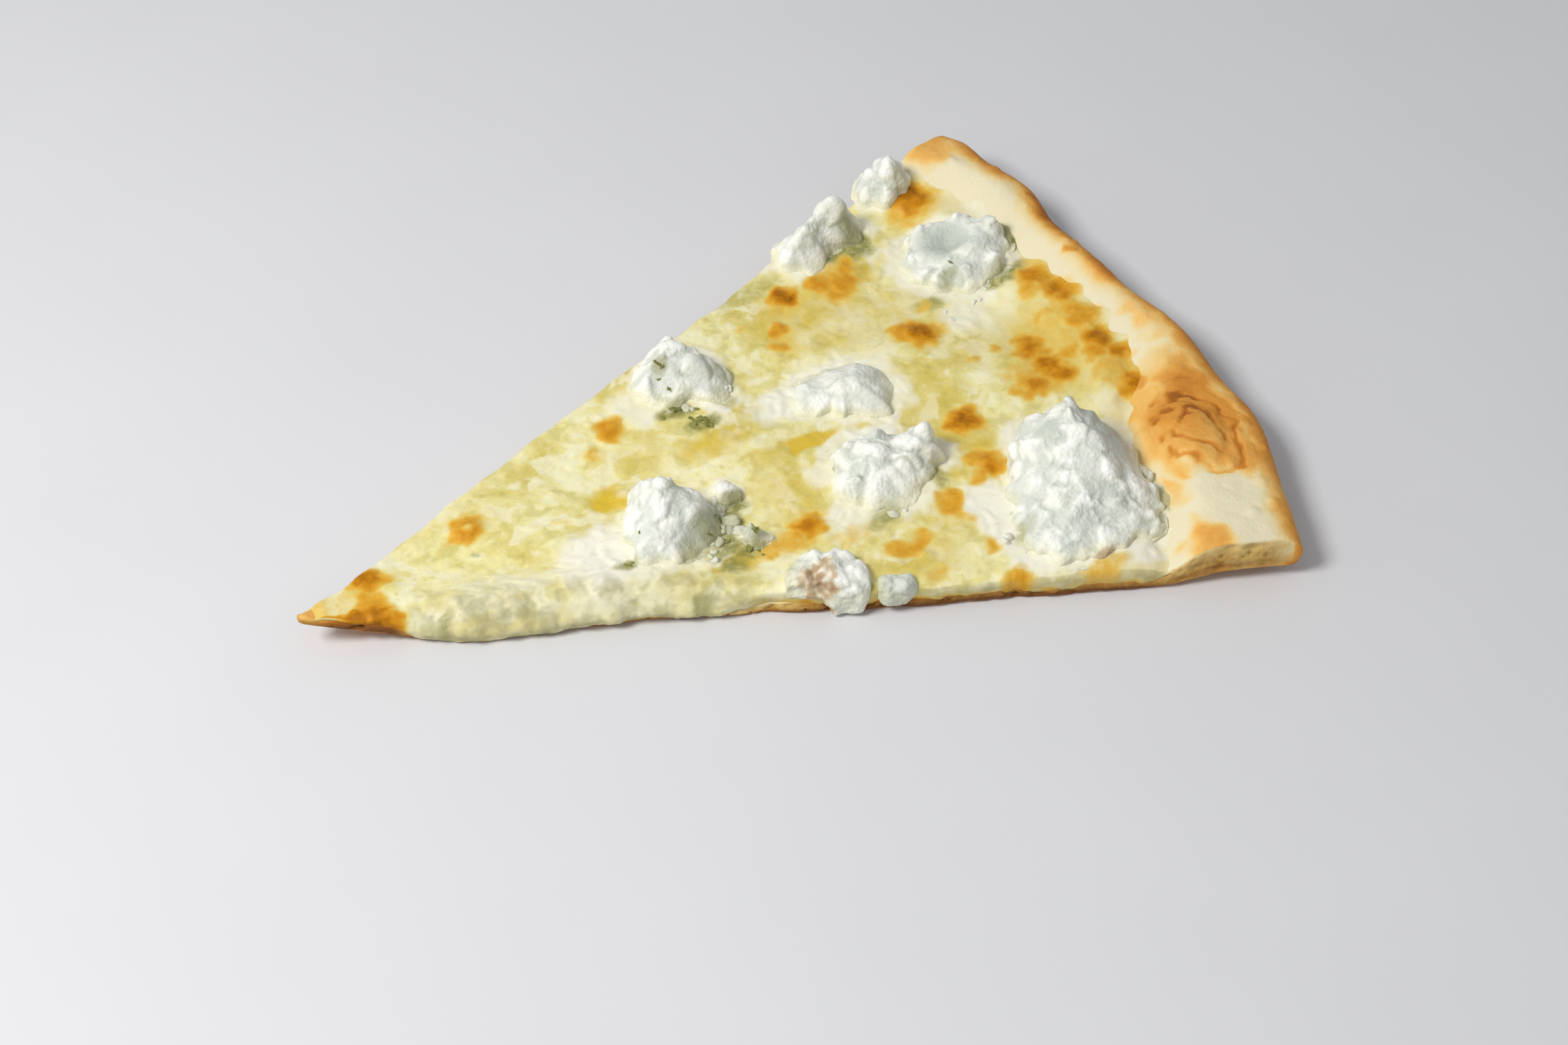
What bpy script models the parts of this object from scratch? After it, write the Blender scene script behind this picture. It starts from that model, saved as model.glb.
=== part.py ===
"""One triangular slice of thin white pizza: a bread crust with a raised rim, a melted cheese
layer, and soft ricotta dollops that sit on the cheese. Lengths below are in millimetres.

Plan frame: the point of the slice is at (0, 0), +X runs along its middle line to the rim,
and +Z is up. The flat middle of the underside is at Z = 0.
"""

import math

import bmesh
import bpy
import numpy as np

# ---- driving dimensions ----------------------------------------------------------------
MM = 0.001
HALF_ANGLE = math.radians(21.75)
SHARP_ANGLE = math.radians(50.0)

FLAT_START = 31.0
FLAT_END = 189.0
TIP_LIFT = 8.6
RIM_LIFT = 5.2
RIM_LIFT_TILT = 0.3
RIM_LIFT_SPAN = 25.0

BREAD_THICK = 4.0
BREAD_TIP_THICK = 1.9
RIM_THICK = 9.2
RIM_TOP_ROUND = 7.0
RIM_TOP_DROP = 4.2
RIM_FOOT_ROUND = 4.0
RIM_FOOT_RISE = 2.4
PUFF_THICK = 2.2
PUFF_RISE = (16.0, 40.0)
PUFF_FADE = (78.0, 104.0)
PUFF_WIDTH = (2.0, 15.0)
RIM_BLEND = (-7.0, 5.0)
RIM_RELIEF = 0.55
CUT_SWELL = 0.45
CUT_RIPPLE = 0.35
RIM_SWELL = 0.6

CHEESE_THICK = 3.0
CHEESE_TIP_THICK = 0.8
CHEESE_LIP_THICK = 0.6
CHEESE_FEATHER = 13.0
CHEESE_RELIEF = 0.5

GAP = 0.3
SEAT_GAP = 0.4

DOLLOP_RELIEF = 0.5
LEAST_DOLLOP = 1.4
DOLLOP_LIP = 0.28
SEAT_RINGS = [1.0, 0.9, 0.6, 0.3, 0.0]

TIP_RADIUS = 1.6
CHEESE_START = 4.0
CHEESE_END = 213.0
COLUMNS = 20

TIP = (0.0, 0.0, 0.0)

# Outer radius of the rim against the angle from the middle line, degrees (front cut to back cut).
RIM_EDGE = np.array([
    [-21.75, 226.0], [-18.0, 226.0], [-11.5, 228.0], [-8.0, 226.0], [-3.0, 224.5], [3.0, 221.5],
    [9.0, 221.0], [12.5, 225.0], [16.5, 223.8], [20.0, 226.0], [21.75, 225.0],
])

# Radius at which the cheese ends and the bare rim begins.
CHEESE_EDGE = np.array([
    [-21.75, 199.0], [-17.0, 202.0], [-8.5, 203.5], [-5.5, 211.0], [-1.0, 214.0],
    [5.0, 212.5], [8.0, 211.0], [11.0, 213.0], [19.0, 210.5], [21.75, 210.0],
])

# Sideways wander of the two cuts, outwards, against the distance from the point.
FRONT_CUT = np.array([
    [0.0, 0.0], [25.0, 0.3], [41.0, 1.8], [60.0, 0.8], [80.0, -0.5], [102.0, -1.6],
    [130.0, 0.0], [190.0, -0.2], [222.0, 1.4],
])
BACK_CUT = np.array([
    [0.0, 0.0], [12.0, -0.8], [30.0, 0.0], [105.0, 0.5], [130.0, -0.4], [170.0, 0.0],
    [200.0, -1.6], [225.0, -4.6],
])

# The wrinkled bubble on the rim: centre, half sizes and height.
BUBBLE = (203.5, -45.0, 10.0, 11.0, 3.2)


# ---- formulas that shape the slice -------------------------------------------------------
def table(rows, at):
    """Straight-line reading of a two-column table."""
    return np.interp(at, rows[:, 0], rows[:, 1])


def smooth(start, end, x):
    """A rise from 0 to 1 between two values, flat at both ends."""
    t = np.clip((x - start) / (end - start), 0.0, 1.0)
    return t * t * (3.0 - 2.0 * t)


def swell(x, y, seed, size, height):
    """Slow, uneven relief: a sum of six sine waves in different directions."""
    rng = np.random.default_rng(seed)
    total = np.zeros_like(np.asarray(x, float))
    for _ in range(6):
        turn = rng.uniform(0.0, 2.0 * math.pi)
        phase = rng.uniform(0.0, 2.0 * math.pi)
        length = size * rng.uniform(0.8, 1.6)
        along = (np.cos(turn) * x + np.sin(turn) * y) * 2.0 * math.pi / length
        total = total + np.sin(along + phase)
    return total * height / 3.0


def underside(r, side):
    """Height of the bottom: flat in the middle, the point and the rim curl up."""
    tip = np.clip(1.0 - r / FLAT_START, 0.0, 1.0) ** 1.3
    rim = smooth(FLAT_END, FLAT_END + RIM_LIFT_SPAN, r)
    return TIP_LIFT * tip + RIM_LIFT * (1.0 + RIM_LIFT_TILT * side) * rim


def bread_thick(r, side):
    """Thickness of the bread below the cheese. side is -1 at the front cut, +1 at the back."""
    thick = BREAD_TIP_THICK + (BREAD_THICK - BREAD_TIP_THICK) * smooth(2.0, 26.0, r)
    puffed = smooth(*PUFF_RISE, r) * (1.0 - smooth(*PUFF_FADE, r))
    from_cut = (1.0 + side) * r * math.tan(HALF_ANGLE)
    thick = thick + PUFF_THICK * puffed * (1.0 - smooth(*PUFF_WIDTH, from_cut))
    lumps = 0.28 * np.sin(r / 6.1 + 0.6) + 0.22 * np.sin(r / 3.7 + 2.0)
    return thick + lumps * smooth(0.6, 1.0, np.abs(side)) * smooth(20.0, 40.0, r)


def bread_top(r, side, x, y):
    """Upper face of the bread, from under the cheese to the rounded outer edge of the rim."""
    angle = np.degrees(np.clip(side, -1.0, 1.0) * HALF_ANGLE)
    outer = table(RIM_EDGE, angle)
    past = r - table(CHEESE_EDGE, angle)
    base = bread_thick(r, side)
    rim = RIM_THICK + swell(x, y, 5, 30.0, RIM_RELIEF)
    top = base + (rim - base) * smooth(*RIM_BLEND, past)
    inside = np.clip(1.0 - (outer - r) / RIM_TOP_ROUND, 0.0, 1.0)
    top = top - RIM_TOP_DROP * (1.0 - np.sqrt(1.0 - inside ** 2))
    cx, cy, half_x, half_y, height = BUBBLE
    away = ((x - cx) / half_x) ** 2 + ((y - cy) / half_y) ** 2
    ripple = 0.8 + 0.2 * np.cos(0.9 * (x - cx) + 0.35 * (y - cy))
    top = top + height * ripple * np.clip(1.0 - away, 0.0, 1.0) ** 0.8 * smooth(0.0, 2.5, outer - r)
    return underside(r, side) + top


def bread_foot(r, side):
    """Lower face of the bread, rounded up at the outer edge of the rim."""
    angle = np.degrees(np.clip(side, -1.0, 1.0) * HALF_ANGLE)
    inside = np.clip(1.0 - (table(RIM_EDGE, angle) - r) / RIM_FOOT_ROUND, 0.0, 1.0)
    return underside(r, side) + RIM_FOOT_RISE * (1.0 - np.sqrt(1.0 - inside ** 2))


def cheese_top(r, side, x, y):
    """Upper face of the cheese: thin at the point and at the rim, gently uneven between."""
    angle = np.degrees(np.clip(side, -1.0, 1.0) * HALF_ANGLE)
    before = table(CHEESE_EDGE, angle) - r
    thick = CHEESE_TIP_THICK + (CHEESE_THICK - CHEESE_TIP_THICK) * smooth(8.0, 34.0, r)
    relief = swell(x, y, 11, 34.0, CHEESE_RELIEF) * smooth(20.0, 45.0, r)
    edge = smooth(0.0, CHEESE_FEATHER, before)
    thick = CHEESE_LIP_THICK + (thick + relief - CHEESE_LIP_THICK) * edge
    return bread_top(r, side, x, y) + GAP + thick


def plan(r, side):
    """Plan position of a point at distance r from the tip, between the two cuts."""
    angle = side * HALF_ANGLE
    cut = np.where(side < 0.0, -table(FRONT_CUT, r), table(BACK_CUT, r))
    across = cut * np.abs(side) ** 6
    x = r * np.cos(angle) - across * np.sin(angle)
    y = r * np.sin(angle) + across * np.cos(angle)
    return x, y


def polar(x, y):
    """The inverse of plan, without the small wander of the cuts."""
    return np.hypot(x, y), np.arctan2(y, x) / HALF_ANGLE


# ---- rows of the grid ------------------------------------------------------------------
NEAR_TIP = [4.0, 7.0, 11.0, 16.0, 22.0, 29.0]
MIDDLE = list(np.linspace(36.5, 190.0, 21))
NEAR_RIM = [196.0, 201.0, 205.0, 208.5, 211.0, CHEESE_END]
COMMON = (np.array(NEAR_TIP + MIDDLE + NEAR_RIM) - CHEESE_START) / (CHEESE_END - CHEESE_START)
RIM_STEPS = np.array([0.15, 0.35, 0.55, 0.72, 0.85, 0.93, 0.98, 1.0])


def row_radius(row, side, first):
    """Radius of each grid row: shared rows under the cheese, then the rows of the bare rim."""
    angle = np.degrees(side * HALF_ANGLE)
    inner = table(CHEESE_EDGE, angle)
    outer = table(RIM_EDGE, angle)
    shared = np.clip(row - first, 0, len(COMMON) - 1).astype(int)
    past = np.clip(row - first - len(COMMON), 0, len(RIM_STEPS) - 1).astype(int)
    r = CHEESE_START + (inner - CHEESE_START) * COMMON[shared]
    r = np.where(row - first >= len(COMMON), inner + (outer - inner) * RIM_STEPS[past], r)
    return np.where(row < first, TIP_RADIUS, r)


# ---- mesh helpers ----------------------------------------------------------------------
def unit_slab(rows, columns, levels):
    """A closed block of grid faces; each vertex is (row, column, level)."""
    bm = bmesh.new()
    bmesh.ops.create_grid(bm, x_segments=rows, y_segments=columns, size=1.0)
    for vert in bm.verts:
        vert.co.x = round((vert.co.x + 1.0) * 0.5 * rows)
        vert.co.y = round((vert.co.y + 1.0) * 0.5 * columns)
    faces = list(bm.faces)
    for level in range(levels):
        made = bmesh.ops.extrude_face_region(bm, geom=faces)["geom"]
        if level > 0:
            bmesh.ops.delete(bm, geom=faces, context="FACES")
        faces = [item for item in made if isinstance(item, bmesh.types.BMFace)]
        lifted = [item for item in made if isinstance(item, bmesh.types.BMVert)]
        bmesh.ops.translate(bm, verts=lifted, vec=(0.0, 0.0, 1.0))
    bmesh.ops.recalc_face_normals(bm, faces=bm.faces)
    return bm


def read_points(bm):
    """The vertex positions as an array."""
    return np.array([vert.co[:] for vert in bm.verts])


def write_points(bm, points, origin):
    """Sets the vertex positions from an array in millimetres, measured from the piece's origin."""
    for vert, place in zip(bm.verts, points - np.array(origin)):
        vert.co = [value * MM for value in place]


def bread_mesh():
    """The bread: a slab with one middle level on its sides, shaped by the formulas."""
    rows = len(COMMON) + len(RIM_STEPS)
    bm = unit_slab(rows, COLUMNS, 2)
    grid = read_points(bm)
    row = grid[:, 0]
    side = grid[:, 1] / COLUMNS * 2.0 - 1.0
    level = grid[:, 2]
    r = row_radius(row, side, 1)
    x, y = plan(r, side)
    top = bread_top(r, side, x, y)
    foot = bread_foot(r, side)
    middle = level == 1
    z = np.where(level == 0, foot, np.where(middle, 0.55 * foot + 0.45 * top, top))
    at_cut = middle & (np.abs(side) > 0.999)
    out = (CUT_SWELL + CUT_RIPPLE * np.sin(r / 4.3)) * smooth(3.0, 15.0, r)
    x = x - np.where(at_cut, out * np.sin(HALF_ANGLE), 0.0)
    y = y + np.where(at_cut, out * np.sign(side) * np.cos(HALF_ANGLE), 0.0)
    at_rim = middle & (row == rows)
    x = x + np.where(at_rim, RIM_SWELL * np.cos(side * HALF_ANGLE), 0.0)
    y = y + np.where(at_rim, RIM_SWELL * np.sin(side * HALF_ANGLE), 0.0)
    write_points(bm, np.stack([x, y, z], axis=1), TIP)
    return bm, TIP


def cheese_mesh():
    """The cheese: a slab on the same grid as the bread, one gap above it."""
    bm = unit_slab(len(COMMON) - 1, COLUMNS, 1)
    grid = read_points(bm)
    side = grid[:, 1] / COLUMNS * 2.0 - 1.0
    r = row_radius(grid[:, 0] + 1, side, 1)
    x, y = plan(r, side)
    low = bread_top(r, side, x, y) + GAP
    z = np.where(grid[:, 2] == 0, low, cheese_top(r, side, x, y))
    write_points(bm, np.stack([x, y, z], axis=1), TIP)
    return bm, TIP


def lumps_height(x, y, lumps):
    """Height of a dollop above the cheese: a sum of soft round lumps."""
    total = np.zeros_like(x)
    for cx, cy, height, half_x, half_y, turn in lumps:
        angle = math.radians(turn)
        along = ((x - cx) * math.cos(angle) + (y - cy) * math.sin(angle)) / half_x
        across = ((y - cy) * math.cos(angle) - (x - cx) * math.sin(angle)) / half_y
        total = total + height * np.exp(-(along ** 2) - across ** 2)
    return total


def around_outline(turn, radii):
    """Radius of an outline at each angle, blended smoothly between evenly spaced values."""
    place = np.mod(turn / (2.0 * math.pi), 1.0) * len(radii)
    before = np.floor(place).astype(int) % len(radii)
    blend = place - np.floor(place)
    blend = 0.5 - 0.5 * np.cos(blend * math.pi)
    values = np.array(radii)
    return values[before] * (1.0 - blend) + values[(before + 1) % len(radii)] * blend


def dollop_mesh(centre, radii, lumps, segments, rings, seed):
    """A ricotta dollop: rings of a ball spread to a traced outline, the lower ones on the cheese."""
    bm = bmesh.new()
    bmesh.ops.create_uvsphere(bm, u_segments=segments, v_segments=rings, radius=1.0)
    unit = read_points(bm)
    down = np.rint(np.arccos(np.clip(unit[:, 2], -1.0, 1.0)) / math.pi * rings)
    turn = np.arctan2(unit[:, 1], unit[:, 0])
    widest = rings + 1 - len(SEAT_RINGS)
    rising = np.clip(down / widest, 0.0, 1.0) * math.pi / 2.0
    spread = np.sin(rising)
    seat = np.interp(down, np.arange(widest, rings + 1), SEAT_RINGS)
    spread = np.where(down > widest, seat, spread)
    spread = np.where(down == 0, 0.0, spread)
    reach = around_outline(turn, radii)
    x = centre[0] + spread * reach * np.cos(turn)
    y = centre[1] + spread * reach * np.sin(turn)
    r, side = polar(x, y)
    seat_z = cheese_top(r, side, x, y) + SEAT_GAP
    tall = lumps_height(x, y, lumps) + swell(x, y, seed, 9.0, DOLLOP_RELIEF)
    tall = np.maximum(tall, LEAST_DOLLOP)
    edge = DOLLOP_LIP * np.minimum(tall, 6.0)
    top = seat_z + edge + (tall - edge) * np.cos(rising) ** 0.75
    z = np.where(down > widest, seat_z, top)
    origin = (*centre, seat_z.min())
    write_points(bm, np.stack([x, y, z], axis=1), origin)
    return bm, origin


def beside_front_cut(along, out):
    """Plan position at a distance along the front cut and a distance outwards from it."""
    across = out + table(FRONT_CUT, along)
    x = along * math.cos(HALF_ANGLE) - across * math.sin(HALF_ANGLE)
    y = -along * math.sin(HALF_ANGLE) - across * math.cos(HALF_ANGLE)
    return x, y


# Cross-section of a hooked dollop, once round: share of the inner reach, share of the outer
# thickness, and height, which counts 0 at the foot, 1 at the seat and 2 at the crown.
HOOK_SECTION = np.array([
    [-1.0, 0.0, 1.0], [-0.98, 0.0, 1.35], [-0.85, 0.0, 1.75], [-0.6, 0.0, 2.0], [-0.3, 0.0, 1.95],
    [0.0, 0.1, 1.8], [0.0, 0.7, 1.4], [0.0, 1.0, 0.9], [0.0, 1.0, 0.5], [0.0, 0.7, 0.08],
    [0.0, 0.0, 0.0], [0.0, 0.0, 0.5], [0.0, 0.0, 1.0], [-0.25, 0.0, 1.0], [-0.5, 0.0, 1.0],
    [-0.75, 0.0, 1.0],
])
CUT_BULGE = 0.85
POLE_LEVEL = 1.2
DRIP_BLEND = 2.5
OVERHANG = 2.2
STATIONS = 12


def hook_mesh(start, end, inner, outer, height, drip_from, drip_to, foot):
    """Ricotta that lies over the front cut: a dome on the cheese that folds down the side."""
    around = len(HOOK_SECTION)
    bm = bmesh.new()
    bmesh.ops.create_uvsphere(bm, u_segments=around, v_segments=STATIONS, radius=1.0)
    unit = read_points(bm)
    share = np.arccos(np.clip(unit[:, 2], -1.0, 1.0)) / math.pi
    turn = np.arctan2(unit[:, 1], unit[:, 0]) / (2.0 * math.pi)
    step = np.mod(np.rint(turn * around), around).astype(int)
    along = start + (end - start) * (0.5 - 0.5 * np.cos(share * math.pi))
    fullness = np.sin(np.clip(share, 0.06, 0.94) * math.pi) ** 0.6
    drip_edge = [drip_from - DRIP_BLEND, drip_from, drip_to, drip_to + DRIP_BLEND]
    drip = np.interp(along, drip_edge, [0.0, 1.0, 1.0, 0.0])
    inward, outward, level = HOOK_SECTION[step].T
    thick = outer * (0.55 + 0.45 * drip) * fullness
    out = inward * inner * fullness + np.where(inward < 0.0, 0.0, GAP + CUT_BULGE + outward * thick)
    pole = (share < 0.01) | (share > 0.99)
    out = np.where(pole, GAP + CUT_BULGE, out)
    level = np.where(pole, POLE_LEVEL, level)
    x, y = beside_front_cut(along, out)
    r, side = polar(x, y)
    seat = cheese_top(r, side, x, y) + SEAT_GAP
    bottom = (seat - OVERHANG) * (1.0 - drip) + foot * drip
    z = np.where(level > 1.0, seat + (level - 1.0) * height * fullness, bottom + (seat - bottom) * level)
    origin = (*beside_front_cut((start + end) / 2.0, 0.0), seat.min())
    write_points(bm, np.stack([x, y, z], axis=1), origin)
    if bm.calc_volume(signed=True) < 0.0:
        bmesh.ops.reverse_faces(bm, faces=bm.faces)
    return bm, origin


# ---- the ricotta dollops -----------------------------------------------------------------
# Each row: name, centre, outline radii every 45 degrees anticlockwise from +X, lumps
# (centre, height, half sizes, turn), faces around, faces down, and seed of the fine relief.
DOLLOPS = [
    ("ricotta_back_corner", (188.5, 69.6), [7.5, 7.0, 5.2, 7.2, 7.2, 6.5, 5.4, 5.5],
     [(188.5, 69.6, 9.0, 8.0, 7.0, 20.0), (194.5, 73.0, 3.0, 3.5, 3.5, 0.0)], 20, 11, 21),
    ("ricotta_back_edge", (163.0, 60.3), [14.0, 9.0, 5.0, 7.0, 14.0, 12.5, 5.5, 6.5],
     [(170.0, 63.5, 11.5, 7.0, 6.0, 22.0), (156.0, 57.5, 8.2, 7.0, 5.5, 22.0)], 24, 11, 22),
    ("ricotta_large_back", (191.5, 38.5), [14.0, 12.0, 12.5, 15.5, 16.0, 14.5, 13.0, 12.5],
     [(191.5, 40.0, 8.0, 15.0, 13.0, 0.0), (201.0, 38.0, 3.4, 5.0, 6.0, 30.0),
      (187.0, 48.0, 4.0, 8.0, 4.5, 10.0), (184.0, 33.0, 1.6, 5.0, 5.0, 0.0)], 28, 13, 23),
    ("ricotta_left_edge", (108.5, 30.5), [11.2, 11.4, 12.0, 10.4, 11.0, 10.5, 8.0, 13.6],
     [(107.0, 35.0, 9.8, 10.0, 8.5, 0.0), (114.0, 29.5, 4.6, 7.0, 6.0, 0.0)], 26, 12, 24),
    ("ricotta_soft_middle", (141.0, 8.0), [12.6, 10.0, 9.0, 12.0, 12.0, 6.0, 8.5, 12.4],
     [(145.0, 6.5, 6.0, 11.0, 9.0, 0.0), (131.0, 12.0, 3.0, 7.0, 5.0, 0.0)], 24, 11, 25),
    ("ricotta_peak_middle", (138.0, -18.5), [17.0, 12.8, 12.8, 13.6, 14.2, 14.2, 13.6, 12.4],
     [(136.0, -17.0, 8.8, 13.0, 11.0, 0.0), (150.0, -18.0, 11.0, 5.5, 5.0, 0.0)], 28, 13, 26),
    ("ricotta_left_middle", (86.0, -11.0), [12.0, 11.4, 14.4, 11.6, 11.8, 13.2, 10.4, 9.2],
     [(83.5, -4.5, 9.8, 8.0, 8.0, 0.0), (92.0, -10.5, 9.6, 7.0, 7.0, 0.0),
      (82.0, -15.0, 5.0, 8.0, 8.0, 0.0)], 28, 13, 27),
    ("ricotta_right_large", (172.5, -48.0), [19.8, 20.5, 22.5, 17.5, 21.0, 22.4, 18.4, 21.0],
     [(172.0, -47.0, 9.8, 20.0, 17.0, 0.0), (176.0, -32.5, 17.0, 8.0, 9.0, -8.0),
      (179.0, -47.0, 6.0, 6.0, 8.0, -10.0), (186.0, -61.0, 3.0, 5.0, 4.0, 0.0)], 32, 14, 28),
    ("ricotta_small_left", (103.0, -8.2), [4.2, 3.4, 4.4, 4.0, 4.2, 4.0, 3.6, 3.8],
     [(103.0, -8.2, 3.6, 5.0, 4.5, 0.0)], 14, 9, 31),
    ("ricotta_small_peak", (102.0, -24.0), [3.8, 3.4, 3.8, 3.4, 3.8, 3.6, 3.4, 3.8],
     [(102.0, -24.0, 5.2, 3.6, 3.6, 0.0)], 14, 9, 32),
]

# Each row: name, start and end along the front cut, reach over the cheese, thickness outside
# the cut, height, start and end of the part that runs down the side, and height of its foot.
HOOKS = [
    ("ricotta_front_drip", 109.0, 128.0, 11.0, 2.6, 4.6, 119.5, 126.0, 0.4),
    ("ricotta_front_small", 129.5, 138.5, 4.0, 1.6, 2.4, 131.5, 136.0, 1.6),
]


# ---- scene -----------------------------------------------------------------------------
def clear_scene():
    """Takes every start-up object away."""
    for old in list(bpy.data.objects):
        bpy.data.objects.remove(old, do_unlink=True)


def material(name, colour, roughness):
    """A plain Principled surface."""
    made = bpy.data.materials.new(name)
    made.use_nodes = True
    shader = made.node_tree.nodes["Principled BSDF"]
    shader.inputs["Base Color"].default_value = (*colour, 1.0)
    shader.inputs["Roughness"].default_value = roughness
    return made


def add_object(name, built, home, base, surface):
    """Places a finished mesh as a named object on the slice's base empty."""
    bm, origin = built
    mesh = bpy.data.meshes.new(name)
    bm.to_mesh(mesh)
    bm.free()
    mesh.shade_smooth()
    mesh.set_sharp_from_angle(angle=SHARP_ANGLE)
    mesh.materials.append(surface)
    made = bpy.data.objects.new(name, mesh)
    made.parent = base
    made.location = [value * MM for value in origin]
    home.objects.link(made)
    return made


def centre_on_base(base, objects):
    """Moves the base empty so that the world origin is the middle of the bounding box's bottom."""
    bpy.context.view_layer.update()
    points = np.array([(item.matrix_world @ vert.co)[:] for item in objects for vert in item.data.vertices])
    low = points.min(axis=0)
    high = points.max(axis=0)
    base.location = (-(low[0] + high[0]) / 2.0, -(low[1] + high[1]) / 2.0, -low[2])
    size = (high - low) / MM
    shift = np.array(base.location) / MM
    print("overall size, mm:", size.round(1), "shift, mm:", shift.round(3))


def main():
    clear_scene()
    home = bpy.data.collections.new("white_pizza_slice")
    bpy.context.scene.collection.children.link(home)
    base = bpy.data.objects.new("slice_base", None)
    home.objects.link(base)
    bread = material("baked_bread", (0.78, 0.60, 0.34), 0.75)
    melted = material("melted_cheese", (0.72, 0.62, 0.26), 0.45)
    curd = material("ricotta", (0.90, 0.89, 0.82), 0.60)
    made = [
        add_object("crust", bread_mesh(), home, base, bread),
        add_object("cheese", cheese_mesh(), home, base, melted),
    ]
    for name, *shape in DOLLOPS:
        made.append(add_object(name, dollop_mesh(*shape), home, base, curd))
    for name, *shape in HOOKS:
        made.append(add_object(name, hook_mesh(*shape), home, base, curd))
    centre_on_base(base, made)


main()
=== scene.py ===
# %% [markdown]
# # A slice of white pizza
# The slice is a thin bread base with a raised, browned rim, one layer of melted cheese and
# twelve dollops of ricotta. The measured model already has their true sizes and places. This
# lesson makes the surface that the eye sees: crumb at the cuts, blisters in the cheese, curds.

# %% Load the measured slice
import itertools
import math

import bpy
import numpy as np
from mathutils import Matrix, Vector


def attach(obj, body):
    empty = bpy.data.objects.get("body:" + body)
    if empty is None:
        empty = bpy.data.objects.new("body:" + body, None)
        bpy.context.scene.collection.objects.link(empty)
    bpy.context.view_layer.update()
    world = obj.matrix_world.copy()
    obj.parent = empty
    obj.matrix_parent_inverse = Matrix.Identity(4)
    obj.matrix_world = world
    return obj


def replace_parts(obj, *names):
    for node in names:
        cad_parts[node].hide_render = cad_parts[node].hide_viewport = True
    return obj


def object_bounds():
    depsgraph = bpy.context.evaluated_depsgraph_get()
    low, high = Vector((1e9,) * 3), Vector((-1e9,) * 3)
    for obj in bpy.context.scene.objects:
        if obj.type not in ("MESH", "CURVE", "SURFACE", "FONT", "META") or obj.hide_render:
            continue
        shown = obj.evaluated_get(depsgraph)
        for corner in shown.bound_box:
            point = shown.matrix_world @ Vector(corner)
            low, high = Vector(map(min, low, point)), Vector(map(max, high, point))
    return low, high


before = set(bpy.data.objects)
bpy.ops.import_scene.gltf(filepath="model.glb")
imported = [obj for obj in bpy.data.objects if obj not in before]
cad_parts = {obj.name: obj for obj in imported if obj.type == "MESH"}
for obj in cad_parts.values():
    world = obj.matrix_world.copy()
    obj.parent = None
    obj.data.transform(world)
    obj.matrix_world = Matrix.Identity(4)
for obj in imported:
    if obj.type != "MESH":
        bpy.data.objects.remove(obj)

cad_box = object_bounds()
print("measured slice, mm:", [round(1000 * (b - a), 1) for a, b in zip(*cad_box)])

# %% [markdown]
# ## Where things are
# Lengths are in millimetres in a plan frame: the point of the slice is at (0, 0), +X runs along
# its middle line to the rim and +Z is up. A place is also given by its distance from the point
# and by its side, -1 at the front cut and +1 at the back cut. The two cuts and the two edges
# are short tables, read with a smooth curve so that no straight stretch shows.

# %% The plan of the slice
MM = 0.001
HALF_DEGREES = 21.75
HALF_ANGLE = math.radians(HALF_DEGREES)
# Where the point of the slice is in the measured model.
POINT_AT = np.array([-113.167, 2.95, 0])
TIP_RADIUS = 1.6
CHEESE_START = 4
# Angle from the middle line in degrees, and distance from the point.
RIM_EDGE = [
    [-HALF_DEGREES, 226], [-18, 226], [-11.5, 228], [-8, 226], [-3, 224.5], [3, 221.5], [9, 221],
    [12.5, 225], [16.5, 223.8], [20, 226], [HALF_DEGREES, 225],
]
CHEESE_EDGE = [
    [-HALF_DEGREES, 199], [-17, 202], [-8.5, 203.5], [-5.5, 211], [-1, 214], [5, 212.5], [8, 211],
    [11, 213], [19, 210.5], [HALF_DEGREES, 210],
]
# Distance from the point, and how far the cut lies outside its straight line.
FRONT_CUT = [
    [0, 0], [25, 0.3], [41, 1.8], [60, 0.8], [80, -0.1], [102, 0.4], [130, 1.9], [160, 1.7],
    [190, 1.8], [222, 1.5],
]
BACK_CUT = [
    [0, 0], [12, -0.8], [30, 0], [105, 0.5], [130, -0.4], [170, 0], [200, -1.7], [225, -6],
]
print("rows that set the outline:", sum(map(len, (RIM_EDGE, CHEESE_EDGE, FRONT_CUT, BACK_CUT))))


# %% Smooth curves and steps
def curve(rows, at):
    """A smooth reading of a two-column table: cubic pieces that share their slopes."""
    x, y = np.array(rows, float).T
    slope = np.gradient(y, x)
    at = np.clip(at, x[0], x[-1])
    k = np.clip(np.searchsorted(x, at, side="right") - 1, 0, len(x) - 2)
    step = x[k + 1] - x[k]
    t = (at - x[k]) / step
    rise = t * t * (3 - 2 * t)
    bend = t * (1 - t) ** 2 * slope[k] - t * t * (1 - t) * slope[k + 1]
    return y[k] * (1 - rise) + y[k + 1] * rise + step * bend


def smooth(start, end, x):
    """A rise from 0 to 1 between two values, flat at both ends."""
    t = np.clip((x - start) / (end - start), 0, 1)
    return t * t * (3 - 2 * t)


print("rim on the middle line, mm from the point:", round(float(curve(RIM_EDGE, 0)), 1))


# %% From the slice to the plan and back
def cut_wander(r, side):
    """How far a cut lies outside its straight line: a table and two small knife waves."""
    waves = 0.16 * np.sin(r / 2.3) + 0.14 * np.sin(r / 4.1 + 1)
    cut = np.where(side < 0, -curve(FRONT_CUT, r), curve(BACK_CUT, r))
    return (cut + waves * smooth(8, 30, r)) * np.abs(side) ** 6


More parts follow.
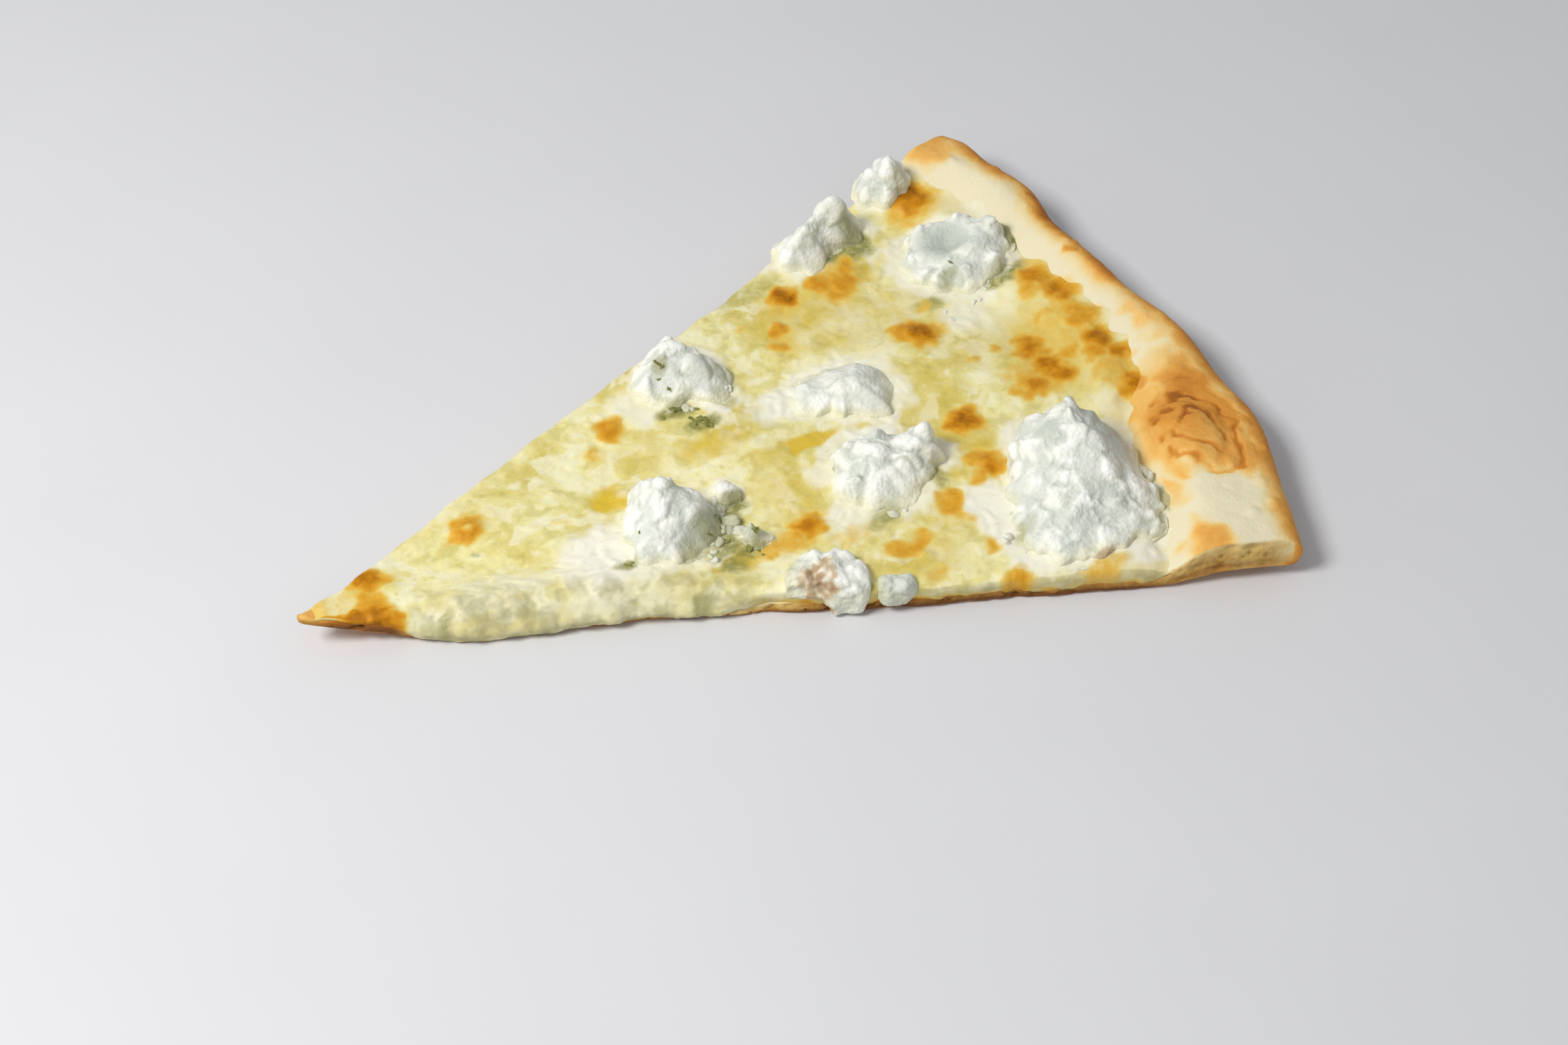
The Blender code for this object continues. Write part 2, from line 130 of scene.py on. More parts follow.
def plan(r, side):
    """Plan position at a distance from the point, between the two cuts."""
    angle = side * HALF_ANGLE
    across = cut_wander(r, side)
    return r * np.cos(angle) - across * np.sin(angle), r * np.sin(angle) + across * np.cos(angle)


def unplan(x, y):
    """The inverse of plan: the angle, less the cut's wander at the last guess of the side."""
    r = np.hypot(x, y)
    angle = np.arctan2(y, x)
    side = angle / HALF_ANGLE
    for _ in range(3):
        side = (angle - cut_wander(r, np.clip(side, -1.1, 1.1)) / np.maximum(r, 1)) / HALF_ANGLE
    return r, side


def edge_at(rows, side):
    """Distance from the point to an edge, at a side from -1 to 1: the table read at its angle."""
    return curve(rows, np.degrees(np.clip(side, -1, 1) * HALF_ANGLE))


def on_front_cut(r, side, rise, fall):
    """1 on one stretch of the front cut: a rise times a fall along it, and 0 at the back cut."""
    return smooth(*rise, r) * smooth(*fall, r) * (side < 0)


FRONT_LENGTH = float(curve(RIM_EDGE, -HALF_DEGREES))
BACK_LENGTH = float(curve(RIM_EDGE, HALF_DEGREES))
print("cut sides, mm:", round(FRONT_LENGTH, 1), round(BACK_LENGTH, 1))

# %% [markdown]
# ## Heights
# The slice lies flat in the middle, and its point and rim curl up. Each layer is a height
# formula over the plan: the underside, the top of the bread and the top of the cheese. They
# follow the measured model's own formulas, so that the fine surfaces lie where the solids do.

# %% Heights of the layers
TIP_CURL = 8.6
RIM_CURL = 5.2
RIM_THICKNESS = 9.2
# The large bubble of the rim: its centre, half sizes and height.
BUBBLE = (203.5, -45, 10, 11, 3.2)


def swell(x, y, seed, size, height):
    """Slow, uneven relief: a sum of six sine waves in different directions."""
    rng = np.random.default_rng(seed)
    total = np.zeros_like(np.asarray(x, float))
    for _ in range(6):
        turn = rng.uniform(0, 2 * math.pi)
        phase = rng.uniform(0, 2 * math.pi)
        length = size * rng.uniform(0.8, 1.6)
        total = total + np.sin((np.cos(turn) * x + np.sin(turn) * y) * 2 * math.pi / length + phase)
    return total * height / 3


def underside(r, side):
    """Height of the bottom: flat in the middle, the point and the rim curl up."""
    tip = np.clip(1 - r / 31, 0, 1) ** 1.3
    return TIP_CURL * tip + RIM_CURL * (1 + 0.3 * side) * smooth(189, 214, r)


def bread_top(x, y):
    """Upper face of the bread, from under the cheese to the rounded outer edge of the rim."""
    r, side = unplan(x, y)
    outer = edge_at(RIM_EDGE, side)
    past = r - edge_at(CHEESE_EDGE, side)
    base = 1.9 + 2.1 * smooth(2, 26, r)
    puffed = smooth(16, 40, r) * (1 - smooth(78, 104, r))
    base = base + 2.2 * puffed * (1 - smooth(2, 15, (1 + side) * r * math.tan(HALF_ANGLE)))
    rim = RIM_THICKNESS + swell(x, y, 5, 30, 0.55)
    top = base + (rim - base) * smooth(-7, 5, past)
    inside = np.clip(1 - (outer - r) / 7, 0, 1)
    top = top - 4.2 * (1 - np.sqrt(1 - inside ** 2))
    cx, cy, half_x, half_y, height = BUBBLE
    away = ((x - cx) / half_x) ** 2 + ((y - cy) / half_y) ** 2
    dome = height * np.clip(1 - away, 0, 1) ** 0.8 * smooth(0, 2.5, outer - r)
    return underside(r, side) + top + 0.85 * dome


def bread_foot(x, y):
    """Lower face of the bread, rounded up at the outer edge of the rim."""
    r, side = unplan(x, y)
    inside = np.clip(1 - (edge_at(RIM_EDGE, side) - r) / 4, 0, 1)
    return underside(r, side) + 2.4 * (1 - np.sqrt(1 - inside ** 2))


def cheese_top(x, y):
    """Upper face of the cheese: thin at the point and at the rim, gently uneven between."""
    r, side = unplan(x, y)
    before = edge_at(CHEESE_EDGE, side) - r
    thick = 0.8 + 2.2 * smooth(8, 34, r) + swell(x, y, 11, 34, 0.5) * smooth(20, 45, r)
    return bread_top(x, y) + 0.9 + (thick - 0.6) * smooth(0, 13, before)


def resting_height(x, y):
    """What a dollop lies on: the top of the cheese, or of the bread past the cheese's edge."""
    r, side = unplan(x, y)
    cheesy = smooth(0.4, 6.9, edge_at(CHEESE_EDGE, side) - r)
    return bread_top(x, y) + (cheese_top(x, y) - bread_top(x, y)) * cheesy


print("cheese top in the middle of the slice, mm:", round(float(cheese_top(120, 0)), 2))

# %% [markdown]
# ## Two kinds of roughness
# Food is never smooth, and never the same twice. Grain is soft noise, good for dough and for
# melted cheese. Curds are round lumps with sharp creases between them, which is just how
# ricotta breaks. Both give the same result each time, because they are worked out from the
# place alone.

# %% Grain and curds
CORNERS = list(itertools.product((0, 1), repeat=3))
AROUND = list(itertools.product((-1, 0, 1), repeat=3))


def dice(cells, seed):
    """Three repeatable random numbers for each whole-number cell: large primes, scrambled."""
    i = cells.astype(np.int64)
    mixed = i[..., 0] * 374761393 + i[..., 1] * 668265263 + i[..., 2] * 1440670441 + seed * 1013904223
    rolled = []
    for turn in range(3):
        mixed = mixed & 0xFFFFFFFF
        mixed = ((mixed ^ (mixed >> 13)) * 1274126177 + 97 * turn) & 0xFFFFFFFF
        mixed = mixed ^ (mixed >> 16)
        rolled.append(mixed / 4294967296.0)
    return np.stack(rolled, axis=-1)


def grain(points, size, seed):
    """Soft noise from about -1 to 1: random slopes on a lattice of the given size, blended."""
    place = points / size
    base = np.floor(place)
    inside = place - base
    blend = inside ** 3 * (inside * (inside * 6 - 15) + 10)
    total = np.zeros(points.shape[:-1])
    for corner in CORNERS:
        offset = np.array(corner, float)
        slope = dice(base + offset, seed) * 2 - 1
        weight = np.where(offset > 0.5, blend, 1 - blend).prod(axis=-1)
        total += ((inside - offset) * slope).sum(axis=-1) * weight
    return total * 1.6


def fractal(points, size, seed, octaves=3):
    """Grain on grain: each layer is half as large and half as high as the one before."""
    layers = [grain(points, size / 2 ** k, seed + k) / 2 ** k for k in range(octaves)]
    return sum(layers) / 1.5


def curds(points, size, seed):
    """Distances to the nearest and the next nearest of a scatter of points, one to a cell."""
    place = points / size
    base = np.floor(place)
    first = np.full(points.shape[:-1], 9.0)
    second = first.copy()
    for step in AROUND:
        cell = base + np.array(step, float)
        gap = np.sqrt(((cell + dice(cell, seed) - place) ** 2).sum(axis=-1))
        second = np.minimum(second, np.maximum(first, gap))
        first = np.minimum(first, gap)
    return first, second


def at(x, y, z=0):
    """Points from coordinates of any matching shapes."""
    return np.stack(np.broadcast_arrays(x, y, z), axis=-1).astype(float)


print("grain at one place:", round(float(grain(at(3.1, 4.2, 5.3), 2, 1)), 3))

# %% [markdown]
# ## From arrays to a mesh
# Every piece is a grid of points. A shell has rings that start and end in one point. A sheet
# has a skirt of rings that hangs from its border and closes below. Numbers that a material
# needs, such as how brown a place is baked, are stored on the points as marks.

# %% Faces between rings
def loop_faces(rows, columns, first):
    """Faces between rings of points: rows of quads that wrap round."""
    k, u = np.meshgrid(np.arange(rows - 1), np.arange(columns), indexing="ij")
    after = (u + 1) % columns
    corners = [k * columns + u, (k + 1) * columns + u, (k + 1) * columns + after, k * columns + after]
    return np.stack(corners, axis=-1).reshape(-1, 4) + first


def fan_faces(ring, pole):
    """Triangles from a ring of point numbers to one point."""
    return np.stack([ring, np.roll(ring, -1), np.full(len(ring), pole)], axis=-1)


print("faces between two rings of eight points:", len(loop_faces(2, 8, 0)))


# %% Put a mesh into Blender
def outward(points, quads, triangles):
    """Turns every face round if the closed mesh has a negative volume."""
    split = np.concatenate([quads[:, [0, 1, 2]], quads[:, [0, 2, 3]], triangles])
    a, b, c = points[split[:, 0]], points[split[:, 1]], points[split[:, 2]]
    if (a * np.cross(b, c)).sum() < 0:
        return quads[:, ::-1], triangles[:, ::-1]
    return quads, triangles


def make_mesh(name, points, quads, triangles, marks):
    """A mesh from points in mm, kept inside the measured box, with its marks on the points."""
    points = np.clip(points, *(np.array(corner) / MM - POINT_AT for corner in cad_box))
    quads, triangles = outward(points, quads, triangles)
    mesh = bpy.data.meshes.new(name)
    mesh.vertices.add(len(points))
    mesh.vertices.foreach_set("co", ((points + POINT_AT) * MM).astype(np.float32).ravel())
    corners = np.concatenate([quads.ravel(), triangles.ravel()]).astype(np.int32)
    starts = np.concatenate([np.arange(len(quads)) * 4, len(quads) * 4 + np.arange(len(triangles)) * 3])
    mesh.loops.add(len(corners))
    mesh.loops.foreach_set("vertex_index", corners)
    mesh.polygons.add(len(starts))
    mesh.polygons.foreach_set("loop_start", starts.astype(np.int32))
    mesh.polygons.foreach_set("use_smooth", np.ones(len(starts), bool))
    mesh.update(calc_edges=True)
    for label, values in marks.items():
        mark = mesh.attributes.new(label, "FLOAT", "POINT")
        mark.data.foreach_set("value", np.clip(values, 0, 1).astype(np.float32))
    made = bpy.data.objects.new(name, mesh)
    bpy.context.scene.collection.objects.link(made)
    print(name, "triangles:", 2 * len(quads) + len(triangles), "sound:", not mesh.validate())
    return made


# %% Shells of rings
def shell_mesh(name, rings, marks):
    """A closed piece from rings of points; the first and the last ring are one point each."""
    count, columns = rings.shape[:2]
    middle = rings[1:-1].reshape(-1, 3)
    points = np.concatenate([middle, rings[:1].mean(axis=1), rings[-1:].mean(axis=1)])
    quads = loop_faces(count - 2, columns, 0)
    numbers = np.arange(columns)
    start = fan_faces(numbers, len(middle))
    end = fan_faces(numbers + (count - 3) * columns, len(middle) + 1)[:, ::-1]
    spread = {}
    for label, values in marks.items():
        ends = [values[:1].mean(axis=1), values[-1:].mean(axis=1)]
        spread[label] = np.concatenate([values[1:-1].ravel(), *ends])
    return make_mesh(name, points, quads, np.concatenate([start, end]), spread)


def ring_normals(rings):
    """Outward unit normals of rings that run outwards and down: the cross product of their ways."""
    along = np.gradient(rings, axis=0)
    around = np.roll(rings, -1, axis=1) - np.roll(rings, 1, axis=1)
    normal = np.cross(along, around)
    normal[0], normal[-1] = normal[1].mean(axis=0), normal[-2].mean(axis=0)
    size = np.linalg.norm(normal, axis=-1, keepdims=True)
    return normal / np.maximum(size, 1e-9)


# %% [markdown]
# ## The bread
# The dough is rolled thin and only the rim is left thick, so the bare rim rises, bubbles and
# browns. A knife leaves two open sides where the crumb shows its holes. The bread is one
# shell: rings run from the middle of the top out to the edge, down the side and back to the
# middle of the underside. On the rim most rings lie on top, and at the cuts most lie on the
# open side, so that each place gets the points it needs.

# %% Outline of the bread
# The place that all rings of the bread run to.
HEART = np.array([150, 0])
BREAD_COLUMNS = 1090
BREAD_RINGS = 90
# How far the rings have come at the foot of the open side, as a share of all of them.
WALL_SHARE = 0.80


def bread_outline(columns, soften):
    """Closed loop round the slice at even steps: its four sides, with the corners softened."""
    side = np.linspace(-1, 1, 1500)
    ends = np.full(2000, 1.0)
    front = plan(np.linspace(TIP_RADIUS, FRONT_LENGTH, len(ends)), -ends)
    rim = plan(edge_at(RIM_EDGE, side), side)
    back = plan(np.linspace(BACK_LENGTH, TIP_RADIUS, len(ends)), ends)
    tip = plan(TIP_RADIUS, np.linspace(1, -1, 40))
    loop = np.concatenate([np.stack(part, axis=1)[:-1] for part in (front, rim, back, tip)])
    fine = 8192
    for count in (fine, columns):
        closed = np.concatenate([loop, loop[:1]])
        length = np.concatenate([[0], np.cumsum(np.linalg.norm(np.diff(closed, axis=0), axis=1))])
        even = np.linspace(0, length[-1], count, endpoint=False)
        loop = np.stack([np.interp(even, length, closed[:, k]) for k in (0, 1)], axis=1)
        if count == fine:
            wave = np.fft.fftfreq(count, length[-1] / count) * 2 * math.pi
            spectrum = np.fft.fft(loop[:, 0] + 1j * loop[:, 1]) * np.exp(-0.5 * (wave * soften) ** 2)
            soft = np.fft.ifft(spectrum)
            loop = np.stack([soft.real, soft.imag], axis=1)
    return loop


def loop_outward(loop):
    """Outward unit directions of a loop that runs anticlockwise."""
    along = np.roll(loop, -1, axis=0) - np.roll(loop, 1, axis=0)
    across = np.stack([along[:, 1], -along[:, 0]], axis=1)
    return across / np.linalg.norm(across, axis=1, keepdims=True)


edge = bread_outline(BREAD_COLUMNS, 0.8)
edge_out = loop_outward(edge)
way_round = np.linalg.norm(edge - np.roll(edge, 1, axis=0), axis=1).sum()
print("outline of the bread, mm:", round(float(way_round), 1))

# %% Rings of the bread
edge_r, edge_side = unplan(edge[:, 0], edge[:, 1])
edge_outer = edge_at(RIM_EDGE, edge_side)
on_rim = 1 - smooth(1, 9, edge_outer - edge_r)
bare_top = smooth(-10, -2, edge_r - edge_at(CHEESE_EDGE, edge_side))
to_heart = HEART - edge
heart_gap = np.linalg.norm(to_heart, axis=1)
to_heart = to_heart / heart_gap[:, None]

step = np.linspace(0, 1, BREAD_RINGS)[:, None]
top_share = 0.20 + 0.40 * bare_top
on_top = np.clip(step / top_share, 0, 1)
down_wall = np.clip((step - top_share) / (WALL_SHARE - top_share), 0, 1)
below = np.clip((step - WALL_SHARE) / (1 - WALL_SHARE), 0, 1)

near = 10 + 20 * bare_top
hidden = 0.50 - 0.30 * bare_top
inward_top = np.where(
    on_top < hidden,
    heart_gap + (near - heart_gap) * on_top / hidden,
    near * (1 - np.clip((on_top - hidden) / (1 - hidden), 0, 1)) ** (1.6 - 0.3 * bare_top),
)
inward = np.where(below > 0, heart_gap * below ** 2, np.where(down_wall > 0, 0, inward_top))
bread_x = edge[:, 0] + to_heart[:, 0] * inward
bread_y = edge[:, 1] + to_heart[:, 1] * inward
top_z = bread_top(bread_x, bread_y) - 0.5 * (1 - on_rim) * np.clip(1 - inward / 0.9, 0, 1) ** 2
sagged = on_front_cut(edge_r, edge_side, (18, 32), (110, 90))
top_z = top_z - 2.9 * sagged * np.clip(1 - inward / 7.5, 0, 1) ** 2
foot_z = bread_foot(bread_x, bread_y) + 0.4 * (1 - on_rim) * np.clip(1 - inward, 0, 1) ** 2
bread_z = top_z + (foot_z - top_z) * np.where(below > 0, 1, down_wall)
belly = np.sin(math.pi * down_wall) ** 0.8 * (0.35 + 0.25 * on_rim)
bread = at(bread_x + edge_out[:, 0] * belly, bread_y + edge_out[:, 1] * belly, bread_z)
print("bread rings:", bread.shape)

# %% [markdown]
# ## Crumb, wrinkles and browning
# The open sides are full of holes: dents where the nearest curd point is close. The rim is
# pushed about by slow grain, carries small blisters and has one large wrinkled bubble. What
# the oven touches first browns first: the outer edge, the bubble, the point of the slice, and
# the underside where it lay on the hot floor.

# %% Relief of the bread
bread_r, bread_side = unplan(bread[..., 0], bread[..., 1])
from_rim = edge_at(RIM_EDGE, bread_side) - bread_r
past_cheese = bread_r - edge_at(CHEESE_EDGE, bread_side)
wall = np.sin(math.pi * down_wall) ** 0.4 * (1 - on_rim)
bare = smooth(-2, 3, past_cheese) * (below <= 0)
bare_dough = bare * (1 - wall)

first, _ = curds(bread, 2.2, 3)
coarse, _ = curds(bread * np.array([0.7, 1, 1.3]), 4.6, 4)
holes = -0.6 * smooth(0.40, 0.05, first) - smooth(0.42, 0.12, coarse)
crumb = np.minimum(holes + 0.5 * fractal(bread, 2.8, 6) + 0.25, 0.3)

cx, cy, half_x, half_y, _ = BUBBLE
bubble = 1.25 - ((bread[..., 0] - cx) / half_x) ** 2 - ((bread[..., 1] - cy) / half_y) ** 2
bubble = np.clip(bubble, 0, 1) * (below <= 0)
FOLDS_AT = (207, -46)
FOLD_GAP = 3.6
swirl = np.hypot(bread[..., 0] - FOLDS_AT[0], 0.6 * (bread[..., 1] - FOLDS_AT[1]))
swirl = swirl + 2.6 * grain(bread, 7, 31) + 0.9 * grain(bread, 2.8, 32)
folds = smooth(0.2, 1, np.sin(2 * math.pi * swirl / FOLD_GAP))
folds = folds * smooth(13, 9, swirl) * smooth(2, 4, swirl)
folds = folds * smooth(-0.6, 0.1, grain(bread, 5, 34))
dough = 0.42 * fractal(bread, 13, 8) + 0.16 * fractal(bread, 3.4, 9)
bread_relief = wall * crumb + bare_dough * dough
bread_relief = bread_relief + bare_dough * (0.28 * bubble * grain(bread, 3, 33) - 0.42 * folds)
print("deepest pit in the bread, mm:", round(-float(bread_relief.min()), 1))


# %% Small blisters of the rim
def domes(points, centres):
    """Height of round blisters at the given rows (x, y, radius, height), each a soft cap."""
    total = np.zeros(points.shape[:-1])
    for x, y, radius, height in centres:
        away = ((points[..., 0] - x) ** 2 + (points[..., 1] - y) ** 2) / radius ** 2
        total = total + height * np.clip(1 - away, 0, 1) ** 1.5
    return total


def small_domes(rng, r, angle, radii, heights):
    """Rows for domes at polar places, with radii and heights drawn between two bounds."""
    drawn = [rng.uniform(*bounds, len(r)) for bounds in (radii, heights)]
    return np.stack([r * np.cos(angle), r * np.sin(angle), *drawn], axis=1)


RIM_BLISTERS = 46
rng = np.random.default_rng(12)
blister_angle = rng.uniform(-20, 20, RIM_BLISTERS)
blister_r = curve(RIM_EDGE, blister_angle) - rng.uniform(1, 12, RIM_BLISTERS)
blisters = small_domes(rng, blister_r, np.radians(blister_angle), (0.9, 2.6), (0.15, 0.5))
bread_relief = bread_relief + bare * domes(bread, blisters)
floor_side = (below > 0) * smooth(0.5, 3, inward)
bread_relief = bread_relief - floor_side * (0.12 + 0.12 * grain(bread, 5, 14))
bread = bread + ring_normals(bread) * bread_relief[..., None]
bread[..., 2] = np.maximum(bread[..., 2], 0)

# %% How brown the bread is, with some painted shade
# Each patch: x, y, half sizes, how brown. The patch at (193, -56) is painted shadow of the large dollop
# on the rim.
BROWNED_AND_SHADOWED = [
    (204, -42, 11, 17, 0.62), (214, -38, 9, 20, 0.67), (212, -55, 9, 9, 0.56),
    (203.5, -28, 6, 7, 0.50), (193, -56, 3.5, 6, 0.40), (206, -22.5, 5, 4.5, 0.66),
    (204.5, 73.5, 8.5, 7, 0.54), (190.5, -75, 5.4, 7, 0.56), (217.7, 46.6, 1.4, 1.6, 0.95),
    (215.5, 22, 1.6, 2, 0.70), (219, -6, 5, 11, 0.42), (208, 14.5, 4, 5, 0.36), (208, 3, 3, 5, 0.45),
    (209, -10, 3, 4, 0.40),
]


def patches(points, rows, warp):
    """The strongest of some soft oval patches, their outline pushed about by grain."""
    x = points[..., 0] + warp * grain(points, 5, 51)
    y = points[..., 1] + warp * grain(points, 5, 52)
    found = np.zeros(points.shape[:-1])
    for cx, cy, half_x, half_y, strength in rows:
        away = ((x - cx) / half_x) ** 2 + ((y - cy) / half_y) ** 2
        found = np.maximum(found, strength * smooth(1.7, 0.05, away))
    return found


uneven = fractal(bread, 9, 17)
outer_band = smooth(10.5, 0.5, from_rim + 2.4 * uneven) * (0.70 + 0.28 * fractal(bread, 21, 18))
bake = np.maximum(outer_band, patches(bread, BROWNED_AND_SHADOWED, 3.5))
bake = bake + 0.24 * folds * bare
tip_bake = smooth(31, 21, bread_r + 3 * uneven) * (0.46 + 0.40 * smooth(2, 12, bread_r))
# The open sides darken towards their foot and along the front cut past the middle: browning from the
# oven floor, and painted shade under the slice.
crumb_bake_and_shade = 0.16 + 0.58 * smooth(0.40, 0.95, down_wall) + 0.48 * smooth(96, 125, bread_r)
crumb_bake_and_shade = crumb_bake_and_shade * (1 - 0.6 * smooth(184, 200, bread_r))
crumb_bake_and_shade = crumb_bake_and_shade + 0.2 * patches(bread, BROWNED_AND_SHADOWED, 2)
bake = np.maximum(np.where(wall > 0.05, crumb_bake_and_shade + 0.18 * uneven, bake), tip_bake)
under_bake = 0.62 + 0.3 * fractal(bread, 12, 19) + 0.15 * fractal(bread, 3, 20)
bake = np.where(below > 0, under_bake, bake)
bake = np.maximum(bake, on_rim * down_wall * 0.8)

bread_piece = shell_mesh("baked_crust", bread, {
    "bake": bake, "crumb": wall, "under": np.broadcast_to(smooth(0, 0.15, below), bake.shape),
})

# %% [markdown]
# ## Where the ricotta lies
# The dollops come before the cheese here, because they melt into it: the cheese needs to know
# their outlines to turn milky round them. Each outline is eight radii, joined by a soft blend.

# %% Shapes of the dollops
# Name, centre, outline radii every 45 degrees anticlockwise from +X, lumps (centre, height,
# half sizes, turn), torn faces (a point on the face, its height there, the slope in x and y),
# clumps that sit on top (as lumps), points around, rings and seed.
DOLLOPS = [
    ("ricotta_back_corner", (188, 69.8), [7, 7.4, 6.4, 8.2, 8.2, 7.5, 6.4, 6],
     [(187.6, 69.6, 10.4, 8, 7, 20)], [(190.5, 68, 7.5, -1.3, 0.4)],
     [(193, 73, 5.5, 3, 3, 0), (184.5, 72, 7.6, 3.5, 3, 0)], 120, 66, 21),
    ("ricotta_back_edge", (163, 60.3), [14, 9, 5, 7, 14.6, 13.8, 7.4, 7.6],
     [(170, 63.5, 11, 7, 6, 22), (156, 57.5, 8.2, 7, 5.5, 22),
      (163.5, 60.8, 3.4, 6, 5, 22)],
     [(172, 62, 9, -1.2, 0.5)],
     [(165, 60, 8.5, 3.5, 3, 0), (153.5, 58, 7, 3, 3.5, 0)], 160, 72, 22),
    ("ricotta_large_back", (191.5, 38.5), [14.6, 13, 13.6, 16, 16, 13.6, 14, 13.6],
     [(191.5, 40, 8.2, 14, 13, 0), (191, 41, -4.6, 6, 5, 10)],
     [(202, 34, 8.5, -1.1, 0.3)],
     [(201, 39, 9.4, 3.6, 4.6, 20), (196, 48, 7, 4, 3, 10),
      (187, 49, 8, 5, 3.2, 10), (180, 44, 6.2, 3.2, 4.5, 0),
      (181.5, 35, 6, 3.6, 3.4, 0), (189, 31, 6.6, 4.6, 3.2, -10),
      (197.5, 30, 6, 3.4, 3.2, 0)], 190, 92, 23),
    ("ricotta_left_edge", (108.5, 30.5), [13, 12, 12, 10.4, 11, 10.5, 8.6, 15],
     [(106, 35, 9, 9.5, 8, 0), (114.5, 29, 6.8, 7, 6.5, 0)],
     [(114, 32, 9.6, -0.75, 0.4), (105, 28, 7.4, 0.15, 0.6)],
     [(103.5, 37, 9.2, 3.6, 3.2, 20), (110, 37.5, 9.6, 3.4, 3, 0),
      (101, 30, 6.2, 3.2, 3.4, 0), (114, 27, 5.4, 3.6, 2.8, -20)], 170, 82, 24),
    ("ricotta_soft_middle", (141, 8), [14.8, 12.6, 11, 12.6, 12.4, 6, 8.5, 14.4],
     [(146.5, 6.5, 8, 10.5, 9, 0), (131, 12.5, 4.4, 7, 5.6, 0)],
     [(149.5, 5, 5, -0.7, 0.2)],
     [(146, 10, 6.6, 4, 3.2, 10), (141, 5, 5.4, 3.4, 3, 0),
      (149, 3, 5.6, 3.2, 3, 0), (132, 12.5, 4, 3.8, 2.8, 20)], 160, 74, 25),
    ("ricotta_peak_middle", (138, -18.5), [17, 12.8, 12.8, 13.6, 14.2, 14.2, 13.6, 12.4],
     [(136, -17, 8, 12.5, 10.5, 0), (150, -18, 9, 5, 5, 0)],
     [(151, -19, 10.5, -1.6, 0.5), (138, -27, 7.4, 0.1, 0.9)],
     [(149, -14.5, 11, 3.2, 3.4, 20), (140, -12, 9.4, 4.2, 3.4, 0),
      (131, -13.5, 8.6, 3.8, 3.6, 0), (129, -22, 7.4, 3.8, 3.4, 0),
      (142, -22, 8.8, 4.4, 3.2, -15)], 190, 90, 26),
    ("ricotta_left_middle", (86, -11), [14, 11.4, 14.4, 11.6, 12.4, 15.2, 12.8, 12.6],
     [(83.5, -4.5, 8.6, 8, 8, 0), (90.5, -10, 7.6, 7, 7.5, 0),
      (80, -16, 6, 8, 8, 0), (94.5, -17, 4, 6, 5, 0)],
     [(94, -11, 9.4, -1.2, 0.55), (79, -7, 8.6, 0.8, 0.1)],
     [(84, -2, 10.6, 3.8, 3.6, 20), (90, -5, 10.4, 3.2, 3.4, 0),
      (86.5, -12, 9.6, 3.4, 4.4, 15), (79.5, -12, 6.6, 3.4, 3.8, 0),
      (82, -20, 5, 4.6, 2.8, 10)], 190, 92, 27),
    ("ricotta_right_large", (172.5, -48), [20.3, 24.6, 24.4, 16.4, 18.6, 22.2, 18.4, 21],
     [(171, -47, 9, 19, 16.5, 0), (179.5, -31.5, 17, 12.5, 10.5, -8),
      (183, -45, 5, 8, 11, -8), (169, -31, 7, 5, 6.5, 0)],
     [(178.2, -35, 19, -0.66, 0.36), (169, -38, 14.6, 0.60, 0)],
     [(188, -34.5, 12.6, 2.3, 4.4, 34), (176.8, -32, 18, 2.6, 3, 0),
      (188.5, -47.5, 7.4, 3, 3.4, 0), (190, -54, 5.4, 2.8, 3, 0),
      (186, -61, 6, 3.8, 2.8, 0), (171.5, -46, 11, 4.6, 5.4, 0),
      (166, -55, 7.2, 5.4, 4, 20), (177, -57, 8.6, 4.8, 4, 0),
      (158.5, -42, 4.6, 4, 4.6, 0)], 270, 128, 28),
    ("ricotta_small_left", (103, -8.2), [4.2, 3.4, 4.4, 4, 4.2, 4, 3.6, 3.8],
     [(103, -8.2, 3.6, 5, 4.5, 0)], [], [(101.6, -7.4, 3.9, 1.8, 1.6, 0)], 70, 36, 31),
    ("ricotta_small_peak", (102, -24), [3.8, 3.4, 3.8, 3.4, 3.8, 3.6, 3.4, 3.8],
     [(102, -24, 5, 3.4, 3.4, 0)], [(103, -24, 4.4, -1.2, 0.2)],
     [(101.6, -22.8, 5.4, 1.6, 1.5, 0)], 70, 40, 32),
]


def around_outline(turn, radii):
    """Radius of an outline at each angle, blended smoothly between evenly spaced values."""
    place = np.mod(turn / (2 * math.pi), 1) * len(radii)
    before = np.floor(place).astype(int) % len(radii)
    blend = 0.5 - 0.5 * np.cos((place - np.floor(place)) * math.pi)
    values = np.array(radii)
    return values[before] * (1 - blend) + values[(before + 1) % len(radii)] * blend


def halo(points, reach):
    """1 on a dollop's outline, fading to 0 at the given multiple of its radius."""
    found = np.zeros(points.shape[:-1])
    wide = 0.22 * grain(points, 7, 55)
    fine = 0.10 * grain(points, 3, 56)
    for _, (cx, cy), radii, *_ in DOLLOPS:
        x, y = points[..., 0] - cx, points[..., 1] - cy
        away = np.hypot(x, y) / around_outline(np.arctan2(y, x), radii)
        found = np.maximum(found, smooth(reach, 1, away + wide + fine))
    return found


print("dollops on the cheese:", len(DOLLOPS))
